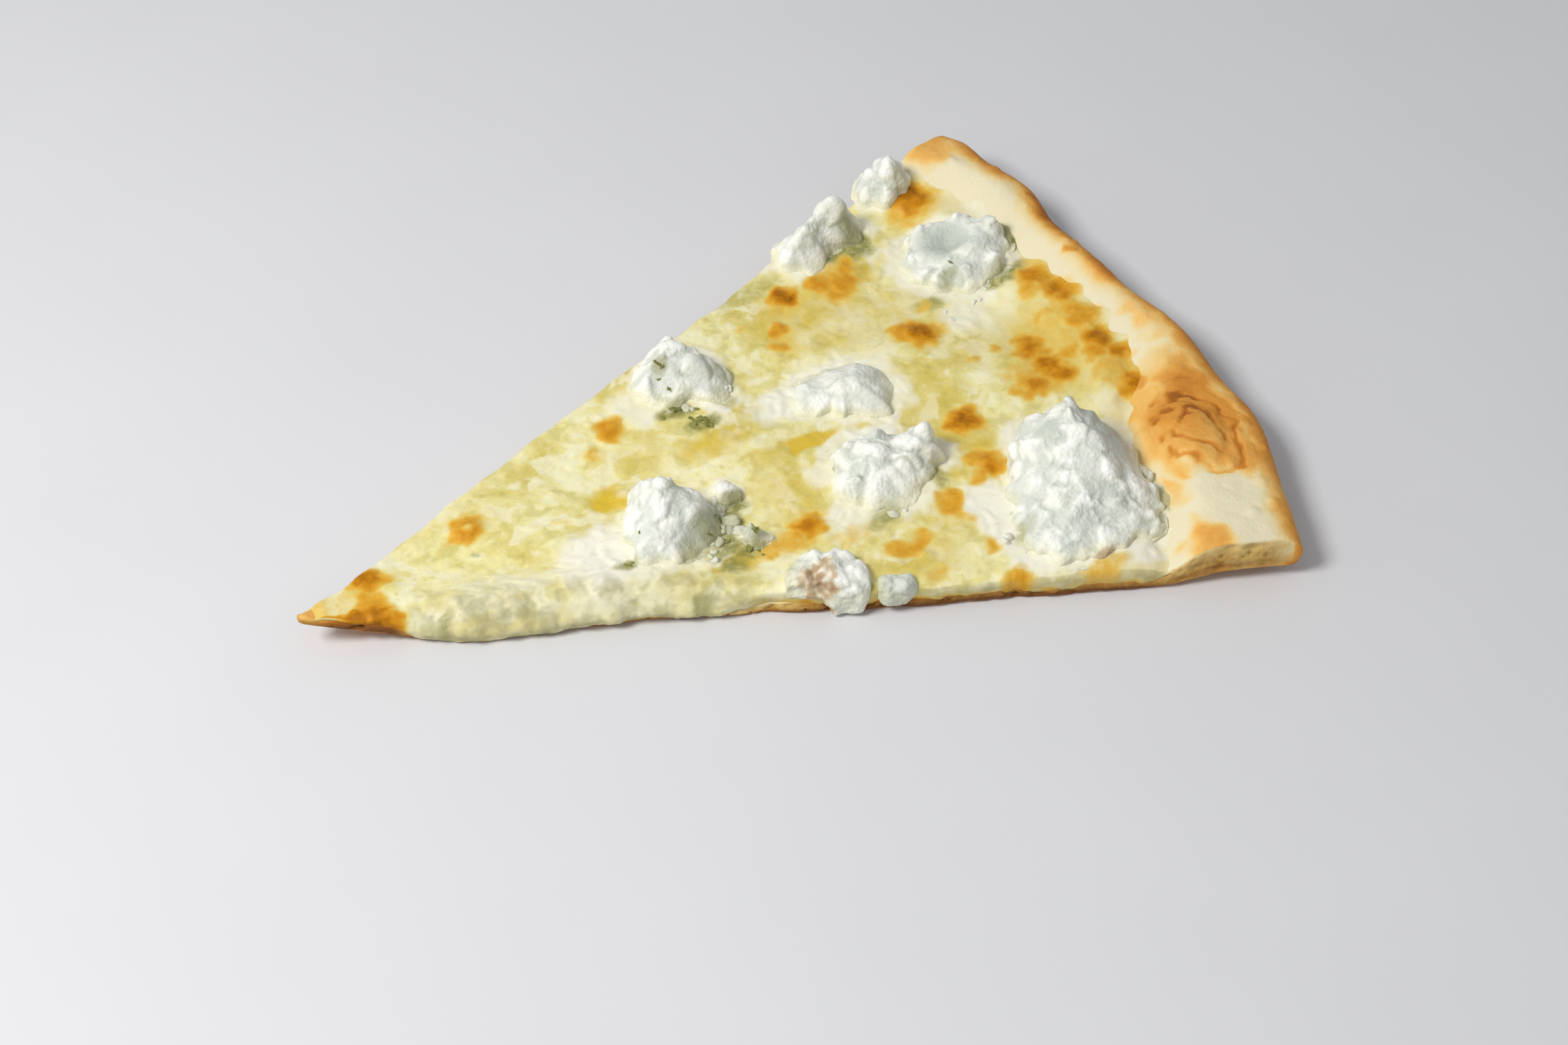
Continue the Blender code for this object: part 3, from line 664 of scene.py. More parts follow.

# %% [markdown]
# ## The cheese
# Shredded mozzarella melts into one uneven sheet. Where a bubble of steam rose it made a dome,
# and the thin skin on the dome browned first. Along the front cut the soft cheese has sunk
# over the edge, and between the point and the middle it hangs in heavy lumps in front of the
# bread. The sheet is a grid between the two cuts, and a skirt of rings hangs from its border,
# over the cut and then inwards below it.

# %% Blisters, stains and painted shadow of the cheese
# Each blister: x, y, radius, how brown, height of its dome. The first is a ring, pale inside.
BLISTERS = [
    (45.5, 8.7, 4.4, 0.62, 0.9), (88, 24, 4.2, 0.60, 0.7), (81, 18, 3.4, 0.30, 0.3),
    (66, 1, 2, 0.22, 0.2), (19, 4.8, 4.4, 0.80, 0.7), (17.5, -1.5, 3.6, 0.50, 0.2),
    (17.8, -7, 4.6, 0.92, 0.2), (26, 15, 2, 0.26, 0.2), (77, -34, 2.6, 0.40, 0.2),
    (146, 47, 4, 0.84, 0.7), (140, 37, 3.2, 0.55, 0.4), (137.5, 31.5, 2.8, 0.46, 0.3),
    (156.5, 46.5, 4.4, 0.58, 0.4), (162, 44.5, 4.8, 0.62, 0.6), (165, 49, 4, 0.46, 0.3),
    (170, 19, 5, 0.86, 0.8), (165.5, 21, 3.6, 0.55, 0.3), (191.5, 63, 5.8, 0.92, 0.6),
    (164, -12, 4.8, 0.86, 0.7), (161.5, -27.5, 4.6, 0.74, 0.6), (157.5, -30, 3, 0.50, 0.3),
    (158.5, 41.5, 3.6, 0.52, 0.3), (115, -25.5, 4.2, 0.72, 0.6), (110.5, -27.5, 4, 0.44, 0.3),
    (106, -29, 3.4, 0.24, 0.2), (191.2, 2.3, 4.6, 0.74, 0.5), (191.4, -5, 4.6, 0.76, 0.5),
    (185, -9.6, 4.4, 0.68, 0.4), (192.3, -10.1, 4.4, 0.76, 0.4), (181, -11.4, 3.4, 0.45, 0.2),
    (197, -4, 4, 0.50, 0.3), (203.8, 22, 4.6, 0.68, 0.3), (206.5, 14.5, 5, 0.74, 0.4),
    (206.8, 4, 5, 0.54, 0.5), (205.5, -4.5, 4.6, 0.76, 0.5), (208, -10.5, 3.6, 0.72, 0.3),
    (202.5, -9, 3.6, 0.55, 0.3), (206, -22, 5, 0.80, 0.6), (200.5, 19, 4, 0.42, 0.2),
    (199, 10, 3.4, 0.34, 0.2), (147, -62, 3, 0.50, 0.2), (149.5, -62, 3, 0.60, 0.2),
    (196, -65, 3, 0.4, 0.2), (176, 5, 2, 0.34, 0.2), (148.4, -50, 2.2, 0.40, 0.2),
    (176, 27, 2.6, 0.30, 0.2), (183.5, 6, 2, 0.36, 0.2), (132, 40, 2.4, 0.26, 0.2),
]
# Scorched smears between the blisters: x, y, half sizes, how brown.
SCORCHED = [
    (197, 0, 13, 15, 0.24), (206, 8, 4.5, 22, 0.34), (204, -15, 8, 8, 0.30), (188, -7, 10, 7, 0.34),
    (160, 46, 9, 6, 0.30), (131.7, -42, 7, 3.2, 0.44), (147.4, -35, 3.6, 6, 0.50),
    (108, -28, 9, 3.6, 0.34), (167, -68.2, 9, 2.6, 0.30), (159.6, -71.4, 5, 2.2, 0.42),
    (13, 0, 6, 5, 0.20), (191, 60, 9, 6, 0.34), (146, 44, 7, 5, 0.26), (123, -33, 6, 3, 0.22),
    (134, -52, 5, 3, 0.28), (8, -3.2, 4, 1.6, 0.62), (12.8, -5, 4, 1.8, 0.74),
    (19.5, -8, 4, 1.8, 0.74),
]
# Where ricotta has melted into the cheese and whitened it: x, y, half sizes, strength.
MILKY = [
    (141, -8, 8, 7, 0.9), (130, 12, 12, 7, 0.85), (143, 11, 15, 11, 0.8), (182, 20, 7, 6, 0.5),
    (156, -45, 10, 15, 0.85), (70, -14, 13, 11, 0.85), (98, 28, 10, 7, 0.6), (91, -25, 7, 5, 0.6),
    (42, -13, 14, 6, 0.5), (62, -23, 14, 5, 0.45), (170, 52, 8, 6, 0.5), (125, -28, 9, 8, 0.6),
    (186, -62, 7, 6, 0.6), (176, 32, 7, 5, 0.35), (113, 18, 4, 3, 0.7), (205, 45, 6, 12, 0.5),
    (160, -60, 13, 4, 0.8), (178, -67.5, 11, 4, 0.8),
]
# Where oil has gathered and the cheese is a deeper yellow: x, y, half sizes, strength.
OILY = [
    (104, 9, 7, 4, 0.7), (152, 40, 16, 9, 0.75), (160, 30, 20, 10, 0.45), (155, 2, 14, 12, 0.35),
    (118, -12, 12, 7, 0.4), (114, -24, 8, 6, 0.6), (100, -26, 7, 3.5, 0.6), (160, -22, 9, 12, 0.7),
    (182, 50, 8, 8, 0.45), (45, 12, 12, 6, 0.25), (92, 14, 8, 6, 0.3), (197, 0, 15, 19, 0.8),
    (206, -16, 7, 8, 0.8), (162, 46, 10, 6, 0.9), (141, 38, 8, 8, 0.7), (170, 19, 10, 6, 0.6),
    (190, 62, 8, 7, 0.5), (186, -70, 10, 6, 0.7), (135, -47, 9, 5, 0.5), (178, 8, 10, 8, 0.4),
    (146, -38, 9, 6, 0.5), (118, -2, 7, 4, 0.6), (108, 8, 9, 4, 0.6),
]
# Small pools of clear yellow oil: x, y, half sizes, strength.
GOLDEN = [
    (128.5, -1.6, 7, 2.6, 1.3), (78, 2.5, 4.6, 4.4, 0.80), (104.5, 7, 6, 3, 0.35),
    (139, 31, 4, 5, 0.5), (98, -29.5, 3.4, 2.4, 0.6), (163.7, -41.5, 2.4, 1.8, 0.5),
    (91, -28, 4, 2, 0.5), (167, 48, 4, 4, 0.6),
]
# Olive green, where herbs and oil have coloured cheese and curd, and painted shadow beside the right
# sides of the dollops: x, y, half sizes, strength.
OLIVE_AND_SHADOW = [
    (104.7, 31.3, 2, 1.8, 0.9), (104.5, 22, 4.4, 2.4, 0.9), (108.5, 15, 4.4, 2.6, 1),
    (102.5, -11.5, 4, 2.4, 1), (99, -15, 4, 4, 1), (94, -19, 5, 3.4, 0.95), (87, -21.5, 3, 3, 0.75),
    (100.5, -26.8, 4.2, 2.2, 1), (96.5, -22.5, 3, 4, 0.9), (93.8, -28.6, 4, 2.4, 0.7),
    (72.5, -19, 2.4, 2, 0.7), (206.5, 38, 2.6, 6.5, 1), (197.5, 26, 5, 3, 0.95),
    (203.5, 26.5, 3.4, 3, 0.7), (171.5, 56, 4.6, 5, 1), (166.5, 53, 4.6, 3.4, 0.9),
    (166, 48, 4, 3, 0.5), (157.5, -51.5, 2.6, 1.8, 0.5), (84, -33.4, 2.6, 1.6, 0.6),
    (132, -32, 5, 2.6, 0.6), (148.5, -25.5, 2.6, 4, 0.6), (119, 27, 3, 3.4, 0.5),
    (193, -58, 3, 6.5, 0.5), (184.5, 32, 2.4, 1.8, 0.8), (121, -50.5, 3, 2, 0.5),
    (138, 52, 9, 3, 0.3), (117, 20, 3, 2.6, 0.4), (31.2, -12.8, 1.5, 1.2, 0.6),
    (48.4, -19.5, 1.9, 1.5, 0.6), (44, 1, 1.2, 1, 0.4), (190.5, 65.5, 2.6, 2.6, 0.6),
    (96, -24, 8, 2.2, 0.6), (177, 27.5, 4, 2.2, 0.6),
]


def spots(points, rows, warp):
    """How brown the blisters are: round spots with an uneven outline, the strongest counts."""
    x = points[..., 0] + warp * grain(points, 5, 61) + 0.3 * warp * grain(points, 2, 63)
    y = points[..., 1] + warp * grain(points, 5, 62) + 0.3 * warp * grain(points, 2, 64)
    found = np.zeros(points.shape[:-1])
    for cx, cy, radius, strength, _ in rows:
        away = np.sqrt((x - cx) ** 2 + (y - cy) ** 2) / radius
        found = np.maximum(found, strength * smooth(1.6, 0.1, away))
    return found


print("blisters in the cheese:", len(BLISTERS))

# %% Grid of the cheese
CHEESE_ROWS = 346
CHEESE_COLUMNS = 208

share = np.linspace(0, 1, CHEESE_ROWS + 1)[:, None]
side = np.linspace(-1, 1, CHEESE_COLUMNS + 1)[None, :]
last = edge_at(CHEESE_EDGE, side)
edge_points = at(*plan(last, side))
last = last + 1.2 * grain(edge_points, 12, 70) + 1.1 * grain(edge_points, 4.5, 79) - 0.4
cheese_r = CHEESE_START + (last - CHEESE_START) * share
cheese_x, cheese_y = plan(cheese_r, side)
flat = at(cheese_x, cheese_y)
before = last - cheese_r
lip = smooth(0, 6.5, before + 1.6 * grain(flat, 6, 71)) * smooth(0, 4, cheese_r - CHEESE_START)
from_cut = (1 - np.abs(side)) * cheese_r * math.tan(HALF_ANGLE)
print("cheese grid:", flat.shape, "its edge, mm:", round(float(last.min())), round(float(last.max())))

# %% Lay the stains and the painted shadow on the grid
brown = np.maximum(spots(flat, BLISTERS, 2.1), patches(flat, SCORCHED, 2.5))
ring_x, ring_y = BLISTERS[0][:2]
brown = brown - 0.34 * smooth(2, 0.4, np.hypot(cheese_x - ring_x, cheese_y - ring_y))
# Olive patches are herb and oil stains, and painted shadow where the dollops shade the cheese.
herbs_and_shadow = patches(flat, OLIVE_AND_SHADOW, 1.8)
milky = np.maximum(patches(flat, MILKY, 3), 0.6 * halo(flat, 1.34)) * (1 - 0.8 * herbs_and_shadow)
oily = patches(flat, OILY, 3)
golden = np.minimum(1.3 * patches(flat, GOLDEN, 2.6), 1)
olive_and_shadow = np.minimum(1.35 * herbs_and_shadow, 1)
print("browned share of the cheese:", round(float((brown > 0.3).mean()), 3))

# %% Relief of the cheese
under_z = bread_top(cheese_x, cheese_y)
thick = cheese_top(cheese_x, cheese_y) - under_z
warped = flat + 2.2 * at(grain(flat, 6, 72), grain(flat, 6, 73))
melt = 0.38 * fractal(flat, 10, 74) + 0.26 * fractal(warped, 3.6, 75)
shreds = 0.09 * (1 - 2.2 * np.abs(grain(warped * np.array([1, 1.7, 1]), 2.6, 76)))
caps = domes(warped, [(x, y, radius, height) for x, y, radius, _, height in BLISTERS])
CHEESE_BLISTERS = 150
CHEESE_REACH = 205
rng = np.random.default_rng(5)
small_r = rng.uniform(25, CHEESE_REACH, CHEESE_BLISTERS) ** 0.5 * CHEESE_REACH ** 0.5
small_angle = rng.uniform(-1, 1, CHEESE_BLISTERS) * HALF_ANGLE
small = small_domes(rng, small_r, small_angle, (0.8, 2), (0.12, 0.38))

lumpy = np.hypot(grain(warped, 3.6, 77), 0.08) - 0.2
relief = melt + shreds + caps + domes(warped, small) + milky * (0.45 + 0.8 * lumpy) - 0.2 * golden
cheese_z = under_z + (thick + relief * smooth(4, 20, cheese_r)) * lip - 0.3 * (1 - lip)
cheese_z = cheese_z - 0.55 * np.clip(1 - from_cut / 1.4, 0, 1) ** 2 * smooth(8, 16, cheese_r)
slumped = on_front_cut(cheese_r, side, (18, 32), (108, 90))
cheese_z = cheese_z + slumped * smooth(9, 3, from_cut) * (0.5 * fractal(flat, 5, 78) + 0.1)
cheese_z = cheese_z - 2.4 * slumped * np.clip(1 - from_cut / 6.5, 0, 1) ** 2
cheese = at(cheese_x, cheese_y, cheese_z)
print("top of the cheese, mm:", round(float(cheese_z.max()), 2))

# %% Where the cheese hangs over
numbers = np.arange((CHEESE_ROWS + 1) * (CHEESE_COLUMNS + 1)).reshape(CHEESE_ROWS + 1, -1)
border = np.concatenate([
    numbers[:-1, 0], numbers[-1, :-1], numbers[:0:-1, -1], numbers[0, :0:-1],
])
rim_loop = cheese.reshape(-1, 3)[border]
out = loop_outward(rim_loop[:, :2])
loop_r = cheese_r.ravel()[border]
loop_side = np.broadcast_to(side, cheese_r.shape).ravel()[border]
at_cut = smooth(0.985, 0.998, np.abs(loop_side)) * smooth(6, 14, loop_r)
at_cut = at_cut * smooth(0, 5, edge_at(CHEESE_EDGE, loop_side) - loop_r)
bread_line = bread_top(rim_loop[:, 0], rim_loop[:, 1])
along = at(loop_r, 0, np.sign(loop_side) * 40)
lumps = fractal(along, 6.5, 81)
fingers = smooth(0.05, 0.55, grain(along, 4.6, 83))

# Stretches of the front cut: heavy lumps, a low fringe further back, and under the large dollop.
hanging = on_front_cut(loop_r, loop_side, (18, 34), (106, 88))
low = on_front_cut(loop_r, loop_side, (108, 122), (200, 190))
below_curd = on_front_cut(loop_r, loop_side, (144, 153), (198, 188))

drip = 0.45 + 0.35 * lumps + 0.9 * fingers + hanging * (4 + 1.3 * lumps + 0.7 * fingers)
drip = drip + low * (1.3 + 0.5 * lumps) + 0.5 * below_curd
foot_line = underside(loop_r, loop_side) + 0.6
droop = np.maximum(bread_line - np.maximum(drip, 0.2), foot_line)
# Where the cheese covers the whole side of the bread.
whole = on_front_cut(loop_r, loop_side, (18, 28), (74, 54))
droop = droop + 0.9 * whole * (foot_line + 0.3 * lumps - droop)
bulge = 0.40 + 0.2 * lumps + hanging * (0.80 + 0.9 * lumps) + low * (0.35 + 0.3 * lumps)
longest = float((bread_line - droop).max())
print("border of the cheese:", len(border), "longest drip, mm:", round(longest, 1))

# %% Rings of the skirt
# Rings that hang, and how far inwards each ring below them is tucked.
LEVELS = 11
TUCKS = (0.008, 0.025, 0.06, 0.12, 0.2, 0.3, 0.42, 0.56, 0.72, 0.88)

skirt = []
levels = np.arange(1, LEVELS + 1) / LEVELS
for level in levels:
    sunk = (droop - rim_loop[:, 2]) * level ** (1.2 - 0.3 * hanging) * at_cut
    z = rim_loop[:, 2] + sunk - 0.4 * level * (1 - at_cut)
    away = bulge * np.sin(math.pi * level ** (0.75 + 0.1 * hanging))
    away = (away + 0.9 * hanging * smooth(0, 0.6, level)) * at_cut
    skirt.append(at(rim_loop[:, 0] + out[:, 0] * away, rim_loop[:, 1] + out[:, 1] * away, z))
for part in TUCKS:
    x, y = (rim_loop[:, :2] + (HEART - rim_loop[:, :2]) * part).T
    skirt.append(at(x, y, np.minimum(bread_top(x, y) - 0.6, skirt[-1][:, 2] + 0.6)))
skirt = np.array(skirt)
face = skirt[:LEVELS]
push = (0.2 + 0.42 * hanging) * fractal(face, 5, 85) + 0.09 * fractal(face, 1.8, 86)
push = push * at_cut * smooth(0, 0.3, levels)[:, None]
skirt[:LEVELS, :, :2] += out * push[..., None]
print("rings of the skirt:", skirt.shape)


# %% Put the cheese together
def sheet_mesh(name, sheet, border, skirt, marks, skirt_marks):
    """A grid of quads and a skirt of rings from its border to one point."""
    rows, columns = sheet.shape[:2]
    numbers = np.arange(rows * columns).reshape(rows, columns)
    quads = np.stack([numbers[:-1, :-1], numbers[1:, :-1], numbers[1:, 1:], numbers[:-1, 1:]], axis=-1)
    first = rows * columns
    width = len(border)
    rings = np.concatenate([border[None], first + np.arange(skirt.shape[0] * width).reshape(-1, width)])
    after = np.roll(rings, -1, axis=1)
    bands = np.stack([rings[:-1], rings[1:], after[1:], after[:-1]], axis=-1)
    points = np.concatenate([sheet.reshape(-1, 3), skirt.reshape(-1, 3), skirt[-1:].mean(axis=1)])
    quads = np.concatenate([quads.reshape(-1, 4), bands.reshape(-1, 4)])
    triangles = fan_faces(rings[-1], len(points) - 1)[:, ::-1]
    spread = {}
    for label, values in marks.items():
        below = np.broadcast_to(skirt_marks.get(label, values.ravel()[border]), skirt.shape[:2])
        spread[label] = np.concatenate([values.ravel(), below.ravel(), [0]])
    return make_mesh(name, points, quads, triangles, spread)


def hung(values):
    """Values on the hanging rings of the skirt, and 0 on the rings tucked in below them."""
    values = np.broadcast_to(values, (LEVELS, len(border)))
    return np.concatenate([values, np.zeros((len(TUCKS), len(border)))])


tip_brown = smooth(16, 4, cheese_r + 3 * fractal(flat, 6, 91)) * 0.3
near_front = smooth(9, 2, from_cut) * (side < 0) * smooth(22, 32, cheese_r)
pale_front = near_front * smooth(100, 80, cheese_r) * (0.45 + 0.4 * fractal(flat, 5, 92))
toasted_cut = smooth(2, 0.3, from_cut) * 0.10 * (side < 0) * smooth(104, 125, cheese_r)
brown_all = np.maximum(np.maximum(brown, tip_brown), toasted_cut)
cheese_marks = {
    "brown": brown_all,
    "milky": np.maximum(milky, 0.7 * pale_front) * (1 - golden),
    "oily": oily * (1 - 0.7 * milky),
    "golden": golden,
    "olive_and_shadow": olive_and_shadow,
    "cut": 0.8 * near_front * smooth(110, 95, cheese_r),
    "rimward": smooth(15, 1, before + 3.5 * fractal(flat, 7, 93)),
}
edge_brown = brown_all.ravel()[border] * at_cut
skirt_height = np.linspace(0.1, 1, LEVELS)[:, None]
# Browner towards the lower edge of the hanging cheese: toast, and a painted shadow line where the cheese
# meets the floor.
toast_and_shadow_line = 0.5 * smooth(0.2, 0.8, skirt_height) * smooth(98, 120, loop_r) + 0.10 * skirt_height
toast_and_shadow_line = toast_and_shadow_line * (0.8 + 0.9 * fractal(along, 5, 87)) * (1 - 0.25 * below_curd - 0.25 * low)
skirt_milk = 0.35 * (loop_side < 0) * smooth(104, 84, loop_r) + 0.35 * below_curd
# On the hanging cheese the cut mark grows towards the lower edge, and the low stretch is olive: painted
# shade on cheese that faces down and forward.
cheese_piece = sheet_mesh("melted_cheese", cheese, border, skirt, cheese_marks, {
    "cut": hung(at_cut * (0.4 + 0.6 * (loop_side < 0)) * (0.55 + 0.65 * skirt_height)),
    "brown": hung(np.maximum(edge_brown, toast_and_shadow_line * at_cut)),
    "milky": hung(at_cut * skirt_milk),
    "olive_and_shadow": np.maximum(olive_and_shadow.ravel()[border], hung(0.34 * at_cut * low * (0.7 + 0.8 * lumps))),
})

# %% [markdown]
# ## The ricotta
# Ricotta goes on by the spoonful after the first bake. It keeps its shape, breaks into lumps
# with flat torn faces, and melts only where it touches the cheese. Each dollop is a dome over
# a traced outline, cut by a few sloping planes, and then its surface is pushed out into
# curds: large lumps, small lumps, and a fine grain.

# %% Height and relief of a dollop
def lump(x, y, cx, cy, height, half_x, half_y, turn):
    """One soft lump: a bell of the given height and half sizes, turned by some degrees."""
    angle = math.radians(turn)
    along = ((x - cx) * math.cos(angle) + (y - cy) * math.sin(angle)) / half_x
    across = ((y - cy) * math.cos(angle) - (x - cx) * math.sin(angle)) / half_y
    return height * np.exp(-(along ** 2) - across ** 2)


def soft_least(first, second, width):
    """The smaller of two heights, with the crease between them rounded over a width."""
    gap = np.maximum(width - np.abs(first - second), 0) / width
    return np.minimum(first, second) - gap * gap * width * 0.25


def lumps_height(x, y, lumps, faces, clumps):
    """Height above the cheese: soft lumps summed, cut by torn faces, with clumps on top."""
    total = sum(lump(x, y, *row) for row in lumps)
    for px, py, height, slope_x, slope_y in faces:
        total = soft_least(total, height + slope_x * (x - px) + slope_y * (y - py), 1.4)
    for row in clumps:
        total = -soft_least(-total, -lump(x, y, *row), 1.6)
    return np.maximum(total, 1.2)


def curd_relief(points, seed):
    """How far the surface is pushed out: billows of 6 and 3 mm with creases, then fine grain."""
    warped = points + 1.2 * at(*(grain(points, 4, seed + k) for k in range(3)))
    large = np.hypot(grain(warped, 6.5, seed + 4), 0.08) - 0.3
    small = np.hypot(grain(warped, 3.2, seed + 5), 0.08) - 0.3
    tiny = np.hypot(grain(points, 1.5, seed + 6), 0.1) - 0.3
    return 1.9 * large + 0.62 * small + 0.24 * tiny + 0.06 * grain(points, 0.7, seed + 8)


print("relief at one place, mm:", round(float(curd_relief(at(1, 2, 3), 1)), 2))

# %% Toasted places, and wet places with painted shade
# Where the curd is toasted: x, y, half sizes, strength.
TOASTED = [
    (168.5, -67, 5, 2.6, 0.50), (108, -41.5, 4.4, 3, 0.50), (176.5, -66.5, 3, 1.6, 0.3),
    (107.5, -44.6, 4.6, 2.6, 0.52), (147, -56, 2.4, 2, 0.4),
]
# Where the curd is smoother and greyer: wet curd, and painted shade on the steep face of the large
# dollop at (185.5, -37): x, y, half sizes, strength.
WET_AND_SHADED_SPOTS = [
    (189, 42, 8, 6, 1), (195, 36, 5, 5, 0.6), (171, -35.5, 3.4, 3, 0.9), (159, -41, 4, 5, 0.5),
    (156, -53, 5, 5, 0.5), (78, -15, 3, 3, 0.6), (73.5, -18.5, 3, 2.4, 0.6),
    (106.5, 28.5, 4, 2.6, 0.6), (114, 27, 4, 4, 0.5), (184.5, 42, 4, 3, 0.6), (147, 2.5, 5, 3, 0.3),
    (185.5, -37, 5.5, 13, 1), (90, -18.5, 5, 3, 0.8), (132, -30, 5, 2.4, 0.6), (172, 57, 3, 4, 0.7),
]
print("toasted places:", len(TOASTED), "wet places:", len(WET_AND_SHADED_SPOTS))

# %% Make the dollops
# Just under the top of the measured slice.
HIGHEST_CURD = 26.3
# How steep the sides of a dollop are: a lower value is blunter.
STEEPNESS = 0.28
BLUNT = {"ricotta_right_large": 0.20, "ricotta_left_edge": 0.20, "ricotta_back_edge": 0.24}
# Dollops that melted a little and have less relief.
SMOOTHED = {"ricotta_soft_middle": 0.55, "ricotta_left_middle": 0.8, "ricotta_back_edge": 0.85}
# The foot, hidden in the cheese: share of the outline's reach, height against the cheese.
SUNK = ((1, -0.1), (0.97, -0.6), (0.8, -0.9), (0.4, -0.9), (0, -0.9))


def dollop_piece(name, centre, radii, lumps, faces, clumps, columns, count, seed):
    """Rings of a dome spread to the outline, pushed into curds, with its foot in the cheese."""
    turn = np.linspace(0, 2 * math.pi, columns, endpoint=False)[None, :]
    rising = np.linspace(0, 0.5 * math.pi, count)[:, None]
    reach = around_outline(turn, radii)
    ragged = at(reach * np.cos(turn), reach * np.sin(turn), seed)
    reach = reach + 1.9 * grain(ragged, 6, seed) + 0.8 * grain(ragged, 2.6, seed + 1)
    spread = np.sin(rising)
    x = centre[0] + spread * reach * np.cos(turn)
    y = centre[1] + spread * reach * np.sin(turn)
    base = resting_height(x, y)
    tall = lumps_height(x, y, lumps, faces, clumps) + swell(x, y, seed, 9, 0.5)
    tall = tall + cheese_top(x, y) - base
    hug = np.clip(0.90 + 0.13 * grain(ragged, 5, seed + 2), 0.74, 0.985)
    dome = (1 - np.clip(spread / hug, 0, 1) ** 2) ** BLUNT.get(name, STEEPNESS)
    film = 0.5 * np.cos(rising) ** 1.7
    z = base + 0.1 + film + (tall - film) * dome
    rings = at(x, y, z)
    height = z - base
    ring_out = ring_normals(rings)
    size = smooth(0, 2, height) * (0.55 + 0.45 * smooth(2, 6, height))
    # Wet places, and the painted shade on the large dollop's steep face, smooth the curd and grey it.
    wet_and_shaded_curd = patches(rings, WET_AND_SHADED_SPOTS, 1.5)
    relief = curd_relief(rings, seed) * (1 - 0.75 * wet_and_shaded_curd) * SMOOTHED.get(name, 1)
    pushed = rings + ring_out * ((relief - 0.1) * size)[..., None]
    pushed[..., 2] = np.minimum(pushed[..., 2], HIGHEST_CURD)
    foot = []
    for inner, depth in SUNK:
        fx = centre[0] + inner * (pushed[-1, :, 0] - centre[0])
        fy = centre[1] + inner * (pushed[-1, :, 1] - centre[1])
        foot.append(at(fx, fy, resting_height(fx, fy) + depth))
    pushed = np.concatenate([pushed, np.array(foot)])
    height = np.concatenate([height, np.zeros((len(foot), columns))])
    # Painted shade: the curd is greyed in the creases between lumps, where shade falls.
    crease_shade = 0.7 * smooth(0.15, -0.42, relief) * smooth(0.5, 2, height[:count])
    marks = {
        "wet_and_shade": np.concatenate([np.maximum(0.9 * crease_shade, wet_and_shaded_curd), np.zeros((len(foot), columns))]),
        "olive_and_shadow": patches(pushed, OLIVE_AND_SHADOW, 1.4),
        "toast": patches(pushed, TOASTED, 1.6),
        "foot": smooth(3.6, 0.2, height + 0.9 * grain(pushed, 2.4, seed + 40)),
    }
    piece = shell_mesh("curd_" + name.removeprefix("ricotta_"), pushed, marks)
    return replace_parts(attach(piece, "root"), name)


ricotta = [dollop_piece(*row) for row in DOLLOPS]

# %% [markdown]
# ## Ricotta over the edge
# One dollop was set down half on the cut. It has sagged over the side and runs down the bread
# in a short tongue, with a small curd beside it. The cross-section is a closed curve that
# hooks over the edge, carried along the cut, and it is fullest in the middle.

# %% Cross-section over the cut
# Cross-section, once round: share of the inner reach, share of the outer thickness, and
# height, which counts 0 at the foot, 1 at the cheese and 2 at the crown.
HOOK = [
    [-1, 0, 0.9], [-0.98, 0, 1.35], [-0.85, 0, 1.75], [-0.6, 0, 2], [-0.3, 0, 1.95], [0, 0.1, 1.8],
    [0, 0.7, 1.4], [0, 1, 0.9], [0, 1, 0.5], [0, 0.7, 0.08], [0, 0, 0], [0, -0.3, 0.5],
    [-0.1, -0.3, 0.9], [-0.35, 0, 0.85], [-0.75, 0, 0.85],
]


def between_rows(rows, places):
    """A table read at places between its rows, each column on straight lines."""
    return np.stack([np.interp(places, np.arange(len(rows)), column) for column in rows.T], axis=1)


def closed_curve(rows, count, fine=240):
    """Even points on a smooth closed curve: the rows' low waves, with the sharp ones faded."""
    wrapped = np.array([*rows, rows[0]])
    dense = between_rows(wrapped, np.linspace(0, len(rows), fine, endpoint=False))
    wave = np.fft.fftfreq(fine, 1 / fine)[:, None]
    soft = np.fft.ifft(np.fft.fft(dense, axis=0) * np.exp(-0.5 * (wave / 9) ** 2), axis=0).real
    return between_rows(soft, np.linspace(0, fine, count, endpoint=False))


HOOK_POINTS = 96
section = closed_curve(HOOK, HOOK_POINTS)
print("points round the hook:", len(section))

# %% Make the dollops on the front cut
# Name, start and end along the cut, reach inwards and outwards, height, start and end of the
# tongue, height of its foot, seed and how grey.
HOOKS = [
    ("ricotta_front_drip", 109, 128, 11, 2.7, 4.2, 119.5, 126, 0.4, 41, 0),
    ("ricotta_front_small", 129.5, 138.5, 4, 1.7, 2.2, 131.5, 136, 1.9, 43, 0.75),
]
HOOK_STATIONS = 84


